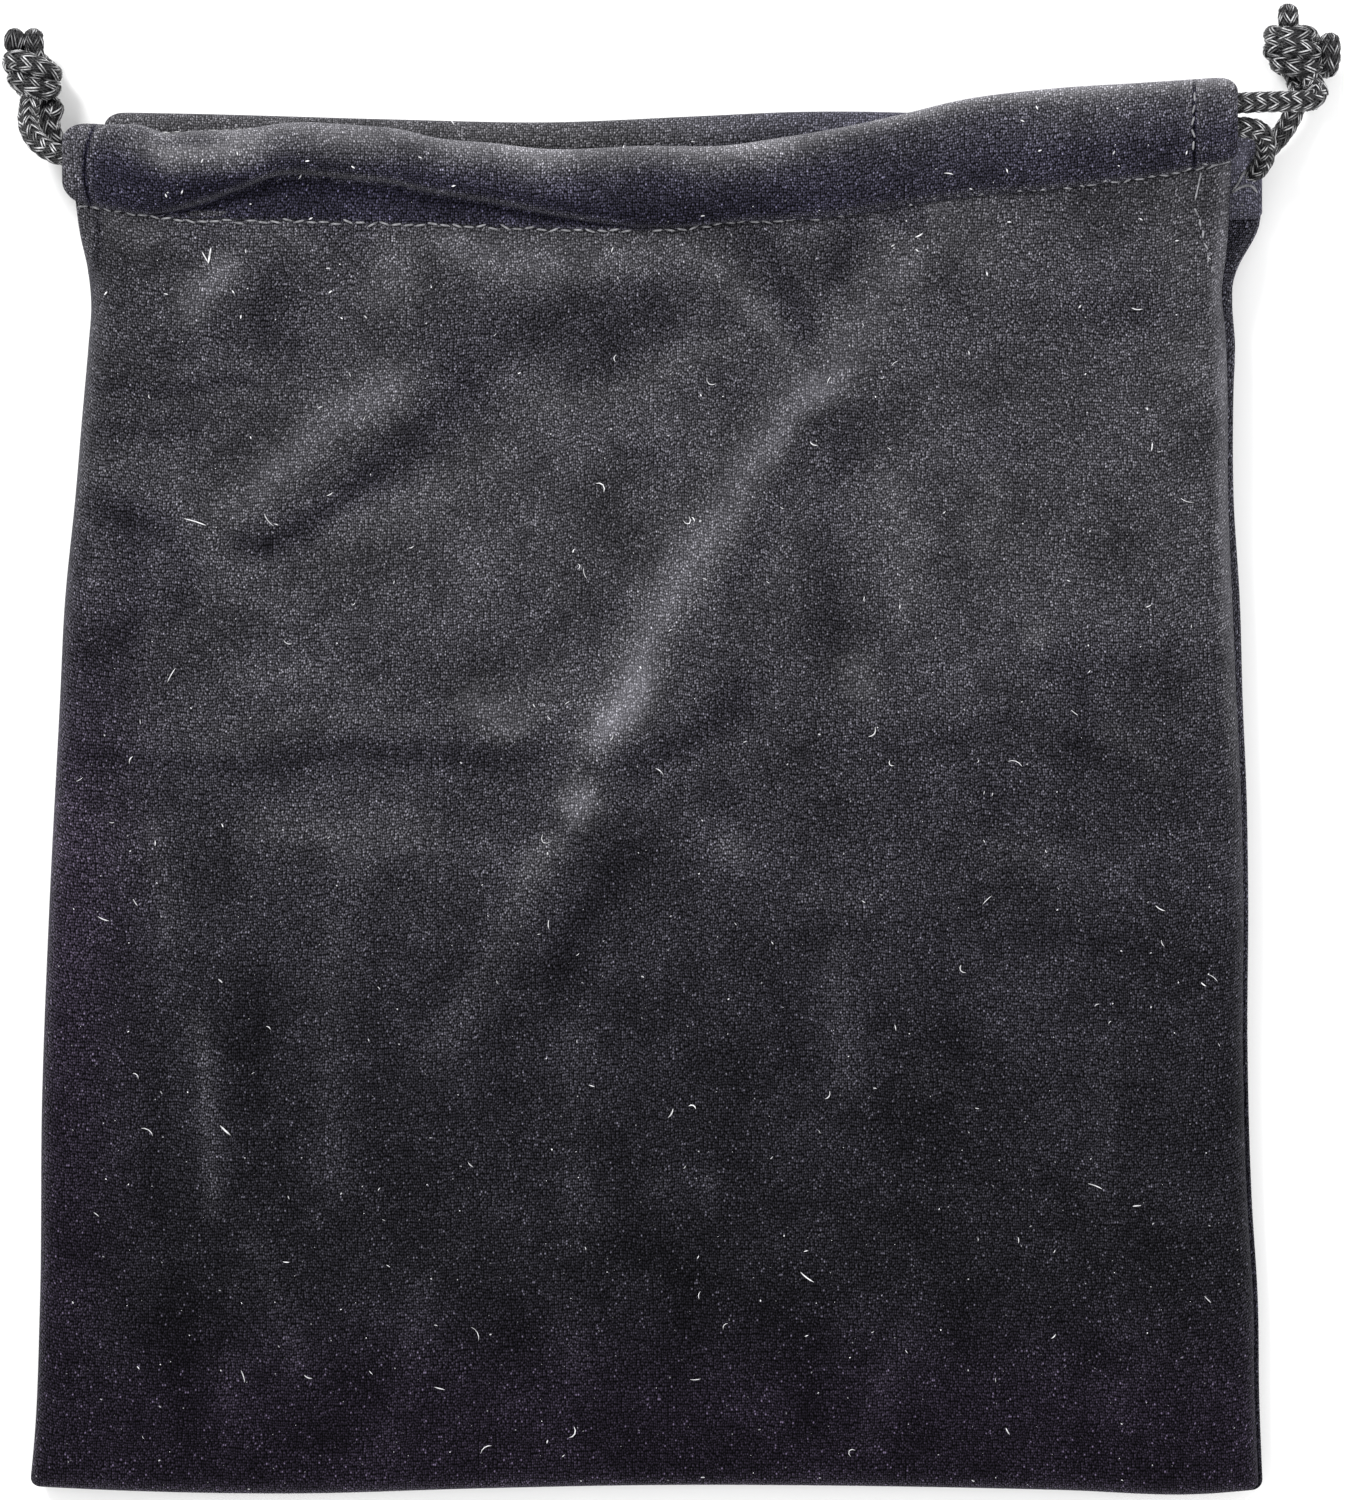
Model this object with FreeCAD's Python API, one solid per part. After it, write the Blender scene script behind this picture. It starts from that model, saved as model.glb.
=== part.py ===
import FreeCAD, Part
import math
import os

os.makedirs("parts", exist_ok=True)
Vector = FreeCAD.Vector

# A velvet drawstring pouch for dice, lying flat on its back.
# +X is the bag's right, +Y points from its closed end to its mouth, +Z is up through its thickness.
# The origin is on the surface that it lies on, under the middle of the cloth bag.
# All sizes are in millimetres.

# Cloth bag
closed_width = 178.0  # across the closed end, outside the side seams
mouth_width = 168.0  # length of each casing, from hem to hem
bag_height = 198.0  # from the closed end to the folded top edge of the casings
closed_depth = 8.5  # how thick the empty bag lies at its closed end
cloth = 1.2  # the velvet with its pile
edge_flat = 0.35  # left flat on each side of a seam, where the cloth has rolled round into it
corner_radius = 4.5  # bottom corners, seen from above
seam_allowance = 6.5  # cloth turned in past each seam
seam_strip = 5.0  # how far in from the edge a seam's node reaches

# Casings at the mouth, and the gap that a hand opens between them
casing_height = 12.5
mouth_gap = 4.6

# Drawstrings
cord = 3.1  # diameter of the braid
cord_clearance = 0.3  # between a cord and the wall of its casing
cord_gap = 0.3  # between the two cords in one casing
loop_reach = 5.85  # how far past its casing a drawstring's closed end turns back
knot_radius = 4.7
knot_wrap = 3.3  # radius at which the outer turn of the knot goes round
tail = 2.7  # diameter of a cut cord end, which is drawn in a little
tail_length = 7.6  # from the middle of the knot to a cut end
knot_height = 5.0  # middle of each knot above the surface

# Sewing thread, sunk in the pile
thread = 0.5
thread_sink = 0.3
row_inset = 0.9  # from the edge of the casing down to its row of stitches
hem_inset = 5.0  # from the end of a casing to the row round its hem
seam_row_inset = 1.0  # from the inside of the rolled edge to the seam's own row

# What follows from them
casing_depth = cord + 2 * cord_clearance + 2 * cloth
edge_roll = closed_depth / 2 - edge_flat
back_level = casing_depth / 2
front_level = casing_depth + mouth_gap + casing_depth / 2
top_y = bag_height / 2
bottom_y = -bag_height / 2
stitch_y = top_y - casing_height
casing_y = top_y - casing_height / 2
mouth_x = mouth_width / 2
closed_x = closed_width / 2
panel_end_y = stitch_y + casing_depth / 2
front_face_z = front_level + cloth / 2
lower_cord_y = casing_y - (cord + cord_gap) / 2
upper_cord_y = casing_y + (cord + cord_gap) / 2


def face_height(y):
    """Height of the front panel's outer face at y."""
    share = (y - bottom_y) / (stitch_y - bottom_y)
    return closed_depth + share * (front_face_z - closed_depth)


def side_x(y):
    """Half the bag's width at y."""
    share = (y - bottom_y) / (casing_y - bottom_y)
    return closed_x + share * (mouth_x - closed_x)


def polygon(points):
    return Part.Face(Part.makePolygon(points + points[:1]))


def plan_prism(inset, end_y):
    """Everything inside the bag's outline, seen from above, less a margin."""
    low_y = bottom_y + inset
    low_x = side_x(low_y) - inset
    high_x = side_x(end_y) - inset
    outline = [(-low_x, low_y), (low_x, low_y), (high_x, end_y), (-high_x, end_y)]
    face = polygon([Vector(x, y, -casing_depth) for x, y in outline])
    return face.extrude(Vector(0, 0, 5 * casing_depth))


def side_prism(profile):
    """A solid with one section all the way across the bag, given as (y, z) points."""
    face = polygon([Vector(-closed_width, y, z) for y, z in profile])
    return face.extrude(Vector(2 * closed_width, 0, 0))


def pouch(inset, end_y):
    """The bag's pillow-like body, less a margin on all sides but the mouth."""
    low_y = bottom_y - closed_depth
    profile = [
        (low_y, inset),
        (end_y, inset),
        (end_y, face_height(end_y) - inset),
        (low_y, face_height(low_y) - inset),
    ]
    body = plan_prism(inset, end_y).common(side_prism(profile))
    corners = [e for e in body.Edges if abs(e.tangentAt(e.FirstParameter).z) > 0.99]
    corners = [e for e in corners if e.CenterOfMass.y < 0]
    body = body.makeFillet(corner_radius - inset, corners)
    rims = []
    for edge in body.Edges:
        upright = edge.BoundBox.ZLength > closed_depth / 3 and edge.BoundBox.YLength < 1
        if not upright and edge.CenterOfMass.y < end_y - 1:
            rims.append(edge)
    return body.makeFillet(edge_roll - inset, rims)


def stadium(level, inset, half_length, at=0.0):
    """A flattened tube's outline, swept along X between at - half_length and at + half_length."""
    radius = casing_depth / 2 - inset
    reach = casing_height / 2 - casing_depth / 2
    x = at - half_length
    low = casing_y - reach
    high = casing_y + reach
    edges = [
        Part.LineSegment(Vector(x, low, level - radius), Vector(x, high, level - radius)).toShape(),
        Part.Arc(
            Vector(x, high, level - radius),
            Vector(x, high + radius, level),
            Vector(x, high, level + radius),
        ).toShape(),
        Part.LineSegment(Vector(x, high, level + radius), Vector(x, low, level + radius)).toShape(),
        Part.Arc(
            Vector(x, low, level + radius),
            Vector(x, low - radius, level),
            Vector(x, low, level - radius),
        ).toShape(),
    ]
    return Part.Face(Part.Wire(edges)).extrude(Vector(2 * half_length, 0, 0))


def hem_row(level, side):
    """The thread round one hemmed end of a casing."""
    at = side * (mouth_x - hem_inset)
    outer = stadium(level, 0, thread / 2, at)
    return outer.cut(stadium(level, thread_sink, thread, at))


def tube(points, diameter, label):
    """A round cord along straight runs joined by tangent arcs, as large as the runs allow."""
    edges = []
    radii = []
    here = points[0]
    for before, corner, after in zip(points, points[1:], points[2:]):
        back = before - corner
        ahead = after - corner
        half_turn = (math.pi - back.getAngle(ahead)) / 2
        reach = 0.45 * min(back.Length, ahead.Length)
        radius = reach / math.tan(half_turn)
        start = corner + Vector(back).normalize() * reach
        end = corner + Vector(ahead).normalize() * reach
        inward = (start + end) * 0.5 - corner
        middle = corner + inward.normalize() * (radius / math.cos(half_turn) - radius)
        edges.append(Part.LineSegment(here, start).toShape())
        edges.append(Part.Arc(start, middle, end).toShape())
        radii.append(radius)
        here = end
    edges.append(Part.LineSegment(here, points[-1]).toShape())
    path = Part.Wire(edges)
    direction = (points[1] - points[0]).normalize()
    ring = Part.Wire([Part.makeCircle(diameter / 2, points[0], direction)])
    solid = path.makePipeShell([ring], True, False)
    expected = path.Length * math.pi * diameter**2 / 4
    print(label, "length", round(path.Length, 1), "volume / expected", solid.Volume / expected)
    print(label, "radii", [round(radius, 1) for radius in radii])
    return Part.Solid(solid) if solid.ShapeType == "Shell" else solid


def rod(start, end, diameter):
    along = end - start
    return Part.makeCylinder(diameter / 2, along.Length, start, along)


def knot(centre, wrap_axis, tails):
    """A tight overhand knot: its body, the turn that goes round it and its cut ends."""
    body = Part.makeSphere(knot_radius - cord / 4, centre)
    wrap = Part.makeTorus(knot_wrap, cord / 2, centre, wrap_axis)
    solid = body.fuse(wrap)
    for direction in tails:
        tip = centre + Vector(direction).normalize() * tail_length
        solid = solid.fuse(rod(centre, tip, tail))
    return solid


def only_solid(shape):
    solids = shape.Solids
    assert len(solids) == 1, len(solids)
    return solids[0]


# Cloth ----------------------------------------------------------------------------------------
front_tube = stadium(front_level, 0, mouth_x)
back_tube = stadium(back_level, 0, mouth_x)
outer = pouch(0, panel_end_y)
hollow = pouch(cloth, panel_end_y + casing_height)
shell = outer.cut(hollow).cut(front_tube).cut(back_tube)
# The side seams stop at the casings, whose ends stay open for the cords.
side_slit = side_prism(
    [
        (stitch_y, back_level),
        (top_y, back_level),
        (top_y, front_level),
        (stitch_y, front_level),
    ]
)
shell = shell.cut(side_slit)

middle = plan_prism(seam_strip, panel_end_y + 1)
panels = sorted(shell.common(middle).Solids, key=lambda s: s.CenterOfMass.z)
back_panel, front_panel = panels

# Both panels' edges, turned in and sewn together, lie half-way up the rolled edge.
turned_in = side_prism(
    [
        (bottom_y, closed_depth / 2 - cloth),
        (stitch_y, front_face_z / 2 - cloth),
        (stitch_y, front_face_z / 2 + cloth),
        (bottom_y, closed_depth / 2 + cloth),
    ]
)
turned_in = turned_in.common(outer).cut(plan_prism(cloth + seam_allowance, panel_end_y + 1))
rim = shell.cut(middle).fuse(turned_in)

corner_far = closed_width
corner_y = bottom_y + corner_far
bottom_wedge = polygon(
    [
        Vector(-closed_x - corner_far, bottom_y - corner_far, -casing_depth),
        Vector(closed_x + corner_far, bottom_y - corner_far, -casing_depth),
        Vector(0, bottom_y + closed_x, -casing_depth),
    ]
).extrude(Vector(0, 0, 5 * casing_depth))
bottom_seam = only_solid(rim.common(bottom_wedge))
sides = sorted(rim.cut(bottom_wedge).Solids, key=lambda s: s.CenterOfMass.x)
left_side_seam, right_side_seam = sides

# Thread ---------------------------------------------------------------------------------------
row_y = stitch_y - row_inset
row_band = Part.makeBox(closed_width, thread, 4 * casing_depth, Vector(-closed_x, row_y - thread, -casing_depth))
cloth_in_row = shell.common(row_band)
front_casing_stitch = cloth_in_row.cut(outer.translated(Vector(0, 0, -thread_sink)))
front_casing_stitch = max(front_casing_stitch.Solids, key=lambda s: s.BoundBox.XLength * s.CenterOfMass.z)
back_casing_stitch = cloth_in_row.cut(outer.translated(Vector(0, 0, thread_sink)))
back_casing_stitch = min(
    [s for s in back_casing_stitch.Solids if s.BoundBox.XLength > mouth_x],
    key=lambda s: s.CenterOfMass.z,
)

seam_row = cloth + seam_row_inset
corner_row_y = bottom_y + seam_row
corner_row_x = side_x(corner_row_y) - seam_row
corner_row_z = (closed_depth + (face_height(corner_row_y) - closed_depth)) / 2
top_row_x = side_x(stitch_y) - seam_row
seam_rows = {}
for name, side in (("left", -1), ("right", 1)):
    low = Vector(side * corner_row_x, corner_row_y + thread, corner_row_z)
    high = Vector(side * top_row_x, stitch_y, front_face_z / 2)
    seam_rows[name] = rod(low, high, thread)
seam_rows["bottom"] = rod(
    Vector(-corner_row_x + thread, corner_row_y, corner_row_z),
    Vector(corner_row_x - thread, corner_row_y, corner_row_z),
    thread,
)

threads = {
    "front_casing_stitch": front_casing_stitch,
    "back_casing_stitch": back_casing_stitch,
    "left_seam_thread": seam_rows["left"],
    "right_seam_thread": seam_rows["right"],
    "bottom_seam_thread": seam_rows["bottom"],
}
for layer, level in (("front", front_level), ("back", back_level)):
    for name, side in (("left", -1), ("right", 1)):
        threads[f"{layer}_{name}_hem_stitch"] = hem_row(level, side)

cloths = {
    "front_panel": front_panel,
    "back_panel": back_panel,
    "left_side_seam": left_side_seam,
    "right_side_seam": right_side_seam,
    "bottom_seam": bottom_seam,
    "front_casing": front_tube.cut(stadium(front_level, cloth, closed_width)),
    "back_casing": back_tube.cut(stadium(back_level, cloth, closed_width)),
}
for name, piece in cloths.items():
    for row in threads.values():
        if piece.BoundBox.intersect(row.BoundBox):
            piece = piece.cut(row)
    cloths[name] = only_solid(piece)

# Drawstrings ----------------------------------------------------------------------------------
# Each is one cord: from its knot through the front casing, round, and back through the other.
# Points outside the casings are set out from the middle of the casings' own ends.
turn_x = mouth_x + loop_reach
left_end = Vector(-mouth_x, casing_y, 0)
right_end = Vector(mouth_x, casing_y, 0)
left_knot_at = left_end + Vector(-4.7, 13.2, knot_height)
right_knot_at = right_end + Vector(10.6, 14.8, knot_height)

left_route = [
    left_end + Vector(-4.4, 10.6, 6.9),
    left_end + Vector(-7.2, 7.4, 7.8),
    left_end + Vector(-10.6, 3.9, 10.6),
    Vector(-turn_x - cord - cord_gap, lower_cord_y, front_level),
    Vector(turn_x, lower_cord_y, front_level),
    Vector(turn_x, lower_cord_y, back_level),
    Vector(-turn_x - cord - cord_gap, lower_cord_y, back_level),
    left_end + Vector(-10.4, 4.2, 3.2),
    left_end + Vector(-7.4, 7.8, 3.4),
    left_end + Vector(-4.4, 10.6, 3.5),
]
right_route = [
    right_end + Vector(11.8, 12.4, 7.0),
    right_end + Vector(14.2, 9.2, 8.0),
    right_end + Vector(14.6, 4.8, 11.0),
    Vector(turn_x + cord + cord_gap, upper_cord_y, front_level),
    Vector(-turn_x, upper_cord_y, front_level),
    Vector(-turn_x, upper_cord_y, back_level),
    Vector(turn_x + cord + cord_gap, upper_cord_y, back_level),
    right_end + Vector(12.8, 4.8, 3.2),
    right_end + Vector(12.9, 9.4, 3.3),
    right_end + Vector(10.9, 12.4, 3.4),
]
left_knot = knot(left_knot_at, Vector(0.5, 0.2, 1), [(-0.3, 1, 0.1), (0.12, 1, -0.2)])
right_knot = knot(right_knot_at, Vector(-0.4, 0.3, 1), [(-0.25, 1, 0.2), (1, 0.5, 0)])
strings = {
    "left_drawstring": only_solid(tube(left_route, cord, "left_drawstring").cut(left_knot)),
    "right_drawstring": only_solid(tube(right_route, cord, "right_drawstring").cut(right_knot)),
    "left_knot": only_solid(left_knot),
    "right_knot": only_solid(right_knot),
}

for group in (cloths, threads, strings):
    for name, solid in group.items():
        if not solid.isValid():
            print("not valid:", name)
        solid.exportStep(f"parts/{name}.step")
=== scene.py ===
import math

import bpy
import numpy as np
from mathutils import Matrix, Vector


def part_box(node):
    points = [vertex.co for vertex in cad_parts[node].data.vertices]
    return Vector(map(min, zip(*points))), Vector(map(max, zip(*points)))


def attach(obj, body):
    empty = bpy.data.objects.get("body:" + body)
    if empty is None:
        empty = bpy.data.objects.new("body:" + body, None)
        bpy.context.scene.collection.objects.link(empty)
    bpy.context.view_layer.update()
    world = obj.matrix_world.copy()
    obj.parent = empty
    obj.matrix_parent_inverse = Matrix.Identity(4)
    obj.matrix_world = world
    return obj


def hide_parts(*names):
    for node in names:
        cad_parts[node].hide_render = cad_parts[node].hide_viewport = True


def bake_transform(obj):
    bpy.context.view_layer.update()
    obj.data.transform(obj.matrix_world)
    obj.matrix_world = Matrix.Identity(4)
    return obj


# A velvet drawstring pouch for dice, lying flat, with a braided cord through each end of its casings.
# Shapes are worked out in millimetres, in the frame's own axes, and turned into metres when a mesh is made.

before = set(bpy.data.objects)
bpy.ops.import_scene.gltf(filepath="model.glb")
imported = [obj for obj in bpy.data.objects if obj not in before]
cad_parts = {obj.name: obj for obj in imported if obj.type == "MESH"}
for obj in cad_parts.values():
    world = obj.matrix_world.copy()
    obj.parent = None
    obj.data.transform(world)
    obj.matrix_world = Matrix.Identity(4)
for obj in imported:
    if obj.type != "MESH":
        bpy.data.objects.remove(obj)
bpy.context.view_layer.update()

MM = 0.001
SEED = 7


def box_mm(node):
    low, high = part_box(node)
    return np.array(low) / MM, np.array(high) / MM


# --- Levels and sizes taken from the frame
front_low, front_high = box_mm("front_casing")
back_low, back_high = box_mm("back_casing")
mouth_x = front_high[0]
stitch_y = front_low[1]
front_level = (front_low[2] + front_high[2]) / 2
back_level = (back_low[2] + back_high[2]) / 2
half_depth = (front_high[2] - front_low[2]) / 2
seam_low, seam_high = box_mm("bottom_seam")
bottom_y = seam_low[1]
closed_depth = seam_high[2]
line_height = box_mm("front_panel")[1][2]

cloth = 1.2  # thickness of the velvet with its pile
edge_roll = 3.6  # how far in from an edge the cloth has rolled over
edge_curl = 0.7  # where the cloth turns in to its seam
slit_y = 73.0  # the side seams stop here, and the two layers part up to the casings


# --- Small helpers
def smooth_curve(points):
    """A smooth function through (at, value) points."""
    at, value = np.array(sorted(points), float).T
    slope = np.gradient(value, at)

    def follow(x):
        x = np.clip(x, at[0], at[-1])
        i = np.clip(np.searchsorted(at, x) - 1, 0, len(at) - 2)
        span = at[i + 1] - at[i]
        t = (x - at[i]) / span
        rise = value[i + 1] - value[i]
        lead = t * (1 - t) ** 2 * span * slope[i] - t * t * (1 - t) * span * slope[i + 1]
        return value[i] + rise * ease(t) + lead

    return follow


def ease(t):
    t = np.clip(t, 0, 1)
    return t * t * (3 - 2 * t)


def mix(a, b, t):
    return a + (b - a) * t


def near(x, at, width):
    return np.exp(-(((x - at) / width) ** 2))


def unit(vectors, least=0.0):
    """The same directions, each made one long."""
    return vectors / np.maximum(np.linalg.norm(vectors, axis=-1, keepdims=True), least)


def run_along(line):
    """How far along a line each of its points is."""
    return np.concatenate([[0], np.cumsum(np.linalg.norm(np.diff(line, axis=0), axis=1))])


def points_at(at, known, line):
    """The points of a line at other places along it than the known ones."""
    return np.stack([np.interp(at, known, column) for column in line.T], axis=1)


def grid_quads(index):
    corners = [index[:-1, :-1], index[1:, :-1], index[1:, 1:], index[:-1, 1:]]
    return np.stack(corners, axis=2).reshape(-1, 4)


def in_scene(name, data):
    made = bpy.data.objects.new(name, data)
    bpy.context.scene.collection.objects.link(made)
    return made


def along_line(x, y, points):
    """At each place: its distance from a drawn line, which side of it, and how far along."""
    best = np.full(np.shape(x), 1e9)
    side = np.zeros(np.shape(x))
    share = np.zeros(np.shape(x))
    lengths = [math.dist(a, b) for a, b in zip(points, points[1:])]
    before = 0.0
    for (ax, ay), (bx, by), length in zip(points, points[1:], lengths):
        t = np.clip(((x - ax) * (bx - ax) + (y - ay) * (by - ay)) / length**2, 0, 1)
        dx, dy = x - mix(ax, bx, t), y - mix(ay, by, t)
        gap = np.hypot(dx, dy)
        closer = gap < best
        best = np.where(closer, gap, best)
        side = np.where(closer, np.sign((bx - ax) * dy - (by - ay) * dx), side)
        share = np.where(closer, (before + t * length) / sum(lengths), share)
        before += length
    return best, side, share


def wandered(x, y, reach, size):
    """The same places moved a little by a smooth random drift."""
    chance = np.random.default_rng(SEED)
    for _ in range(6):
        heading, phase_x, phase_y = chance.uniform(0, 2 * np.pi, 3)
        stretch = size * chance.uniform(0.6, 1.8)
        along = (x * np.cos(heading) + y * np.sin(heading)) / stretch
        x, y = x + reach * np.sin(along + phase_x), y + reach * np.sin(1.3 * along + phase_y)
    return x, y


# --- Camera, light and floor
camera_x, camera_y, camera_height = 3.9, 7.6, 908.5
drawn_level = 6.5  # outlines are given as the photograph shows them at this height


def as_photographed(points):
    """Points given as seen from above, moved to where they lie at their own height."""
    points = np.array(points, float)
    nearer = (camera_height - points[..., 2:]) / (camera_height - drawn_level)
    centre = np.array([camera_x, camera_y])
    points[..., :2] = centre + (points[..., :2] - centre) * nearer
    return points


def make_camera():
    data = bpy.data.cameras.new("camera")
    data.lens, data.sensor_width = 150.0, 36.0
    camera = in_scene("camera", data)
    camera.location = (camera_x * MM, camera_y * MM, camera_height * MM)
    bpy.context.scene.camera = camera


def make_light(name, place, size, watts):
    data = bpy.data.lights.new(name, "AREA")
    data.shape, data.size, data.energy = "DISK", size, watts
    light = in_scene(name, data)
    light.location = place
    light.rotation_euler = (-Vector(place)).to_track_quat("-Z", "Y").to_euler()


def make_studio():
    world = bpy.data.worlds.new("studio")
    world.use_nodes = True
    sky = world.node_tree.nodes["Background"]
    sky.inputs["Color"].default_value = (1.0, 1.0, 1.0, 1)
    sky.inputs["Strength"].default_value = 0.95
    bpy.context.scene.world = world
    make_light("key", (-0.55, 0.75, 0.95), 0.4, 15.0)
    make_light("fill", (0.7, -0.2, 1.1), 0.9, 7.0)
    bpy.context.scene.view_settings.view_transform = "Standard"

    half = 3.0
    mesh = bpy.data.meshes.new("floor")
    corners = [(-half, -half, 0), (half, -half, 0), (half, half, 0), (-half, half, 0)]
    mesh.from_pydata(corners, [], [(0, 1, 2, 3)])
    floor = in_scene("floor", mesh)
    floor.location.z = -0.0002
    paper = Nodes("floor_paper")
    paper.shader.inputs["Base Color"].default_value = (0.93, 0.93, 0.93, 1)
    paper.shader.inputs["Roughness"].default_value = 0.9
    mesh.materials.append(paper.material)


# --- Cords
# Each drawstring's route: from its knot through the front casing, round, and back through the other.
left_route = [
    (-88.5, 102.2, 5.9), (-89.6, 98.8, 8.4), (-87.9, 95.0, 11.8), (-83.4, 92.8, 13.75),
    (-68.0, 91.8, 13.75), (-54.0, 93.6, 14.4), (-40.0, 93.2, 14.3), (-20.0, 89.8, 12.7),
    (12.0, 88.2, 11.1), (46.0, 92.4, 13.75), (76.0, 96.6, 13.75), (86.2, 97.8, 13.4),
    (89.7, 96.6, 11.4), (89.3, 91.8, 6.4), (85.2, 89.4, 3.4), (62.0, 89.3, 3.05), (30.0, 91.6, 3.05),
    (-10.0, 90.4, 3.05), (-50.0, 91.2, 3.05), (-76.0, 91.8, 3.05), (-84.0, 93.4, 3.3),
    (-86.1, 97.2, 4.8), (-86.4, 100.6, 4.6),
]
right_route = [
    (96.6, 103.6, 6.6), (97.5, 101.2, 9.4), (92.6, 101.2, 12.4), (85.0, 101.0, 13.75),
    (76.0, 100.1, 13.75), (46.0, 95.8, 13.75), (12.0, 91.6, 13.75), (-20.0, 92.8, 13.75),
    (-40.0, 95.6, 12.9), (-54.0, 96.0, 12.8), (-68.0, 95.2, 13.5), (-77.0, 95.2, 13.75),
    (-82.4, 95.0, 11.4), (-82.4, 94.9, 5.4), (-77.0, 94.9, 3.05), (-50.0, 94.6, 3.05),
    (-10.0, 93.8, 3.05), (30.0, 95.0, 3.05), (62.0, 92.7, 3.05), (85.0, 91.8, 3.1), (89.6, 93.8, 3.2),
    (93.8, 99.0, 3.8), (94.6, 103.6, 5.2),
]
# Each knot: one end goes up through the middle, and the other is wound round it.
left_knot_core = [
    (-88.9, 100.8, 6.8), (-88.4, 102.6, 5.6), (-88.1, 104.7, 5.0), (-88.2, 107.2, 5.0),
    (-88.3, 109.6, 5.6), (-88.3, 111.7, 5.6),
]
left_knot_start = [(-86.2, 98.8, 4.7)]
left_knot_finish = [(-91.0, 110.4, 5.8), (-90.8, 111.6, 5.4)]
right_knot_core = [
    (97.2, 102.0, 8.0), (96.8, 103.2, 7.2), (95.4, 105.2, 5.4), (94.0, 108.2, 5.0), (93.0, 111.2, 5.2),
    (92.7, 113.4, 5.6), (92.8, 115.3, 5.8),
]
right_knot_start = [(94.3, 102.2, 5.0)]
right_knot_finish = [
    (96.0, 110.4, 2.4), (96.8, 107.0, 2.2), (98.4, 105.6, 3.2), (98.9, 107.4, 5.2), (98.8, 109.4, 5.8),
    (98.7, 111.1, 6.0),
]
points_a_turn = 8


def coil(centre, heading, lean, radius, start, turns, pitch):
    """Control points of a cord wound unevenly round a line lying along a heading.

    Lean is how much further back along that line each turn lies on its right than in its middle."""
    ahead = np.array([-math.sin(heading), math.cos(heading), 0])
    across = np.array([math.cos(heading), math.sin(heading), 0])
    up = np.array([0, 0, 1.0])
    points = []
    for share in np.linspace(0, 1, int(round(turns * points_a_turn)) + 1):
        turn = start - 2 * math.pi * turns * share
        out = math.cos(turn) * across + math.sin(turn) * up
        bulge = 1.05 * radius + 0.35 * math.sin(0.55 * turn + 1)
        along = pitch * turns * (share - 0.5) - bulge * lean * math.cos(turn)
        along += 0.45 * math.sin(1.6 * turn)
        points.append(tuple(np.array(centre) + ahead * along + bulge * out))
    return points


left_knot_coil = coil((-88.35, 105.0, 5.0), math.radians(5), 0.6, 2.7, math.radians(-10), 2.5, 2.6)
right_knot_coil = coil((93.6, 108.3, 5.0), math.radians(14), 0.45, 2.7, math.radians(-100), 2.6, 2.15)
left_knot_strands = [left_knot_core, left_knot_start + left_knot_coil + left_knot_finish]
right_knot_strands = [right_knot_core, right_knot_start + right_knot_coil + right_knot_finish]

braid_pitch = 14.0  # along the cord, for a carrier to go once round it
carriers_each_way = 8
yarns = 2  # side by side in each carrier
yarn_radius = 0.2
yarn_spacing = 0.31  # as a turn round the cord, between the yarns of a carrier
braid_radius = 1.26  # at the middle of the carriers
core_radius = braid_radius - 0.1
weave_lift = 0.11  # how far a carrier goes in and out over its neighbours
yarn_sides = 5
core_sides = 12
braid_step = braid_pitch / 30  # between the points of a yarn


def spline_points(name, route, step):
    """Evenly spaced points, in mm, along one smooth NURBS line with the route as its control points."""
    curve = bpy.data.curves.new(name, "CURVE")
    curve.dimensions = "3D"
    spline = curve.splines.new("NURBS")
    spline.points.add(len(route) - 1)
    for point, place in zip(spline.points, route):
        point.co = (*(v * MM for v in place), 1.0)
    spline.order_u = 3
    spline.use_endpoint_u = True
    spline.resolution_u = 24
    holder = bpy.data.objects.new(name, curve)
    mesh = bpy.data.meshes.new_from_object(holder)
    line = np.array([v.co for v in mesh.vertices], float) / MM
    bpy.data.objects.remove(holder)
    bpy.data.meshes.remove(mesh)
    bpy.data.curves.remove(curve)
    return evenly(as_photographed(line), step)


def evenly(line, step):
    """The same line with its points about a step apart."""
    gaps = np.linalg.norm(np.diff(line, axis=0), axis=1)
    line = line[np.concatenate([[True], gaps > 1e-6])]
    run = run_along(line)
    return points_at(np.linspace(0, run[-1], max(8, int(round(run[-1] / step)) + 1)), run, line)


def carried_frames(line):
    """The direction of a line and two directions square to it that never twist about it."""
    ahead = unit(np.gradient(line, axis=0))
    side = np.zeros_like(ahead)
    start = np.cross(ahead[0], (0, 0, 1.0))
    side[0] = start / np.linalg.norm(start)
    for k in range(1, len(line)):
        s = side[k - 1] - ahead[k] * (side[k - 1] @ ahead[k])
        side[k] = s / np.linalg.norm(s)
    return ahead, side, np.cross(ahead, side)


def tube_skin(middle, ahead, out, radius, sides):
    """Vertices and faces of a round skin about a line, closed at both ends."""
    out = unit(out - ahead * np.sum(out * ahead, axis=1)[:, None])
    across = np.cross(ahead, out)
    turn = np.linspace(0, 2 * np.pi, sides, endpoint=False)
    radius = np.broadcast_to(radius, len(middle))[:, None, None]
    ring = np.cos(turn)[None, :, None] * out[:, None] + np.sin(turn)[None, :, None] * across[:, None]
    skin = (middle[:, None] + radius * ring).reshape(-1, 3)
    a = np.arange(sides)
    b = (a + 1) % sides
    rows = (np.arange(len(middle) - 1) * sides)[:, None]
    quads = np.stack([rows + a, rows + b, rows + sides + b, rows + sides + a], axis=2).reshape(-1, 4)
    last = (len(middle) - 1) * sides
    ends = [tuple(range(sides - 1, -1, -1)), tuple(range(last, last + sides))]
    return skin, quads, ends


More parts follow.
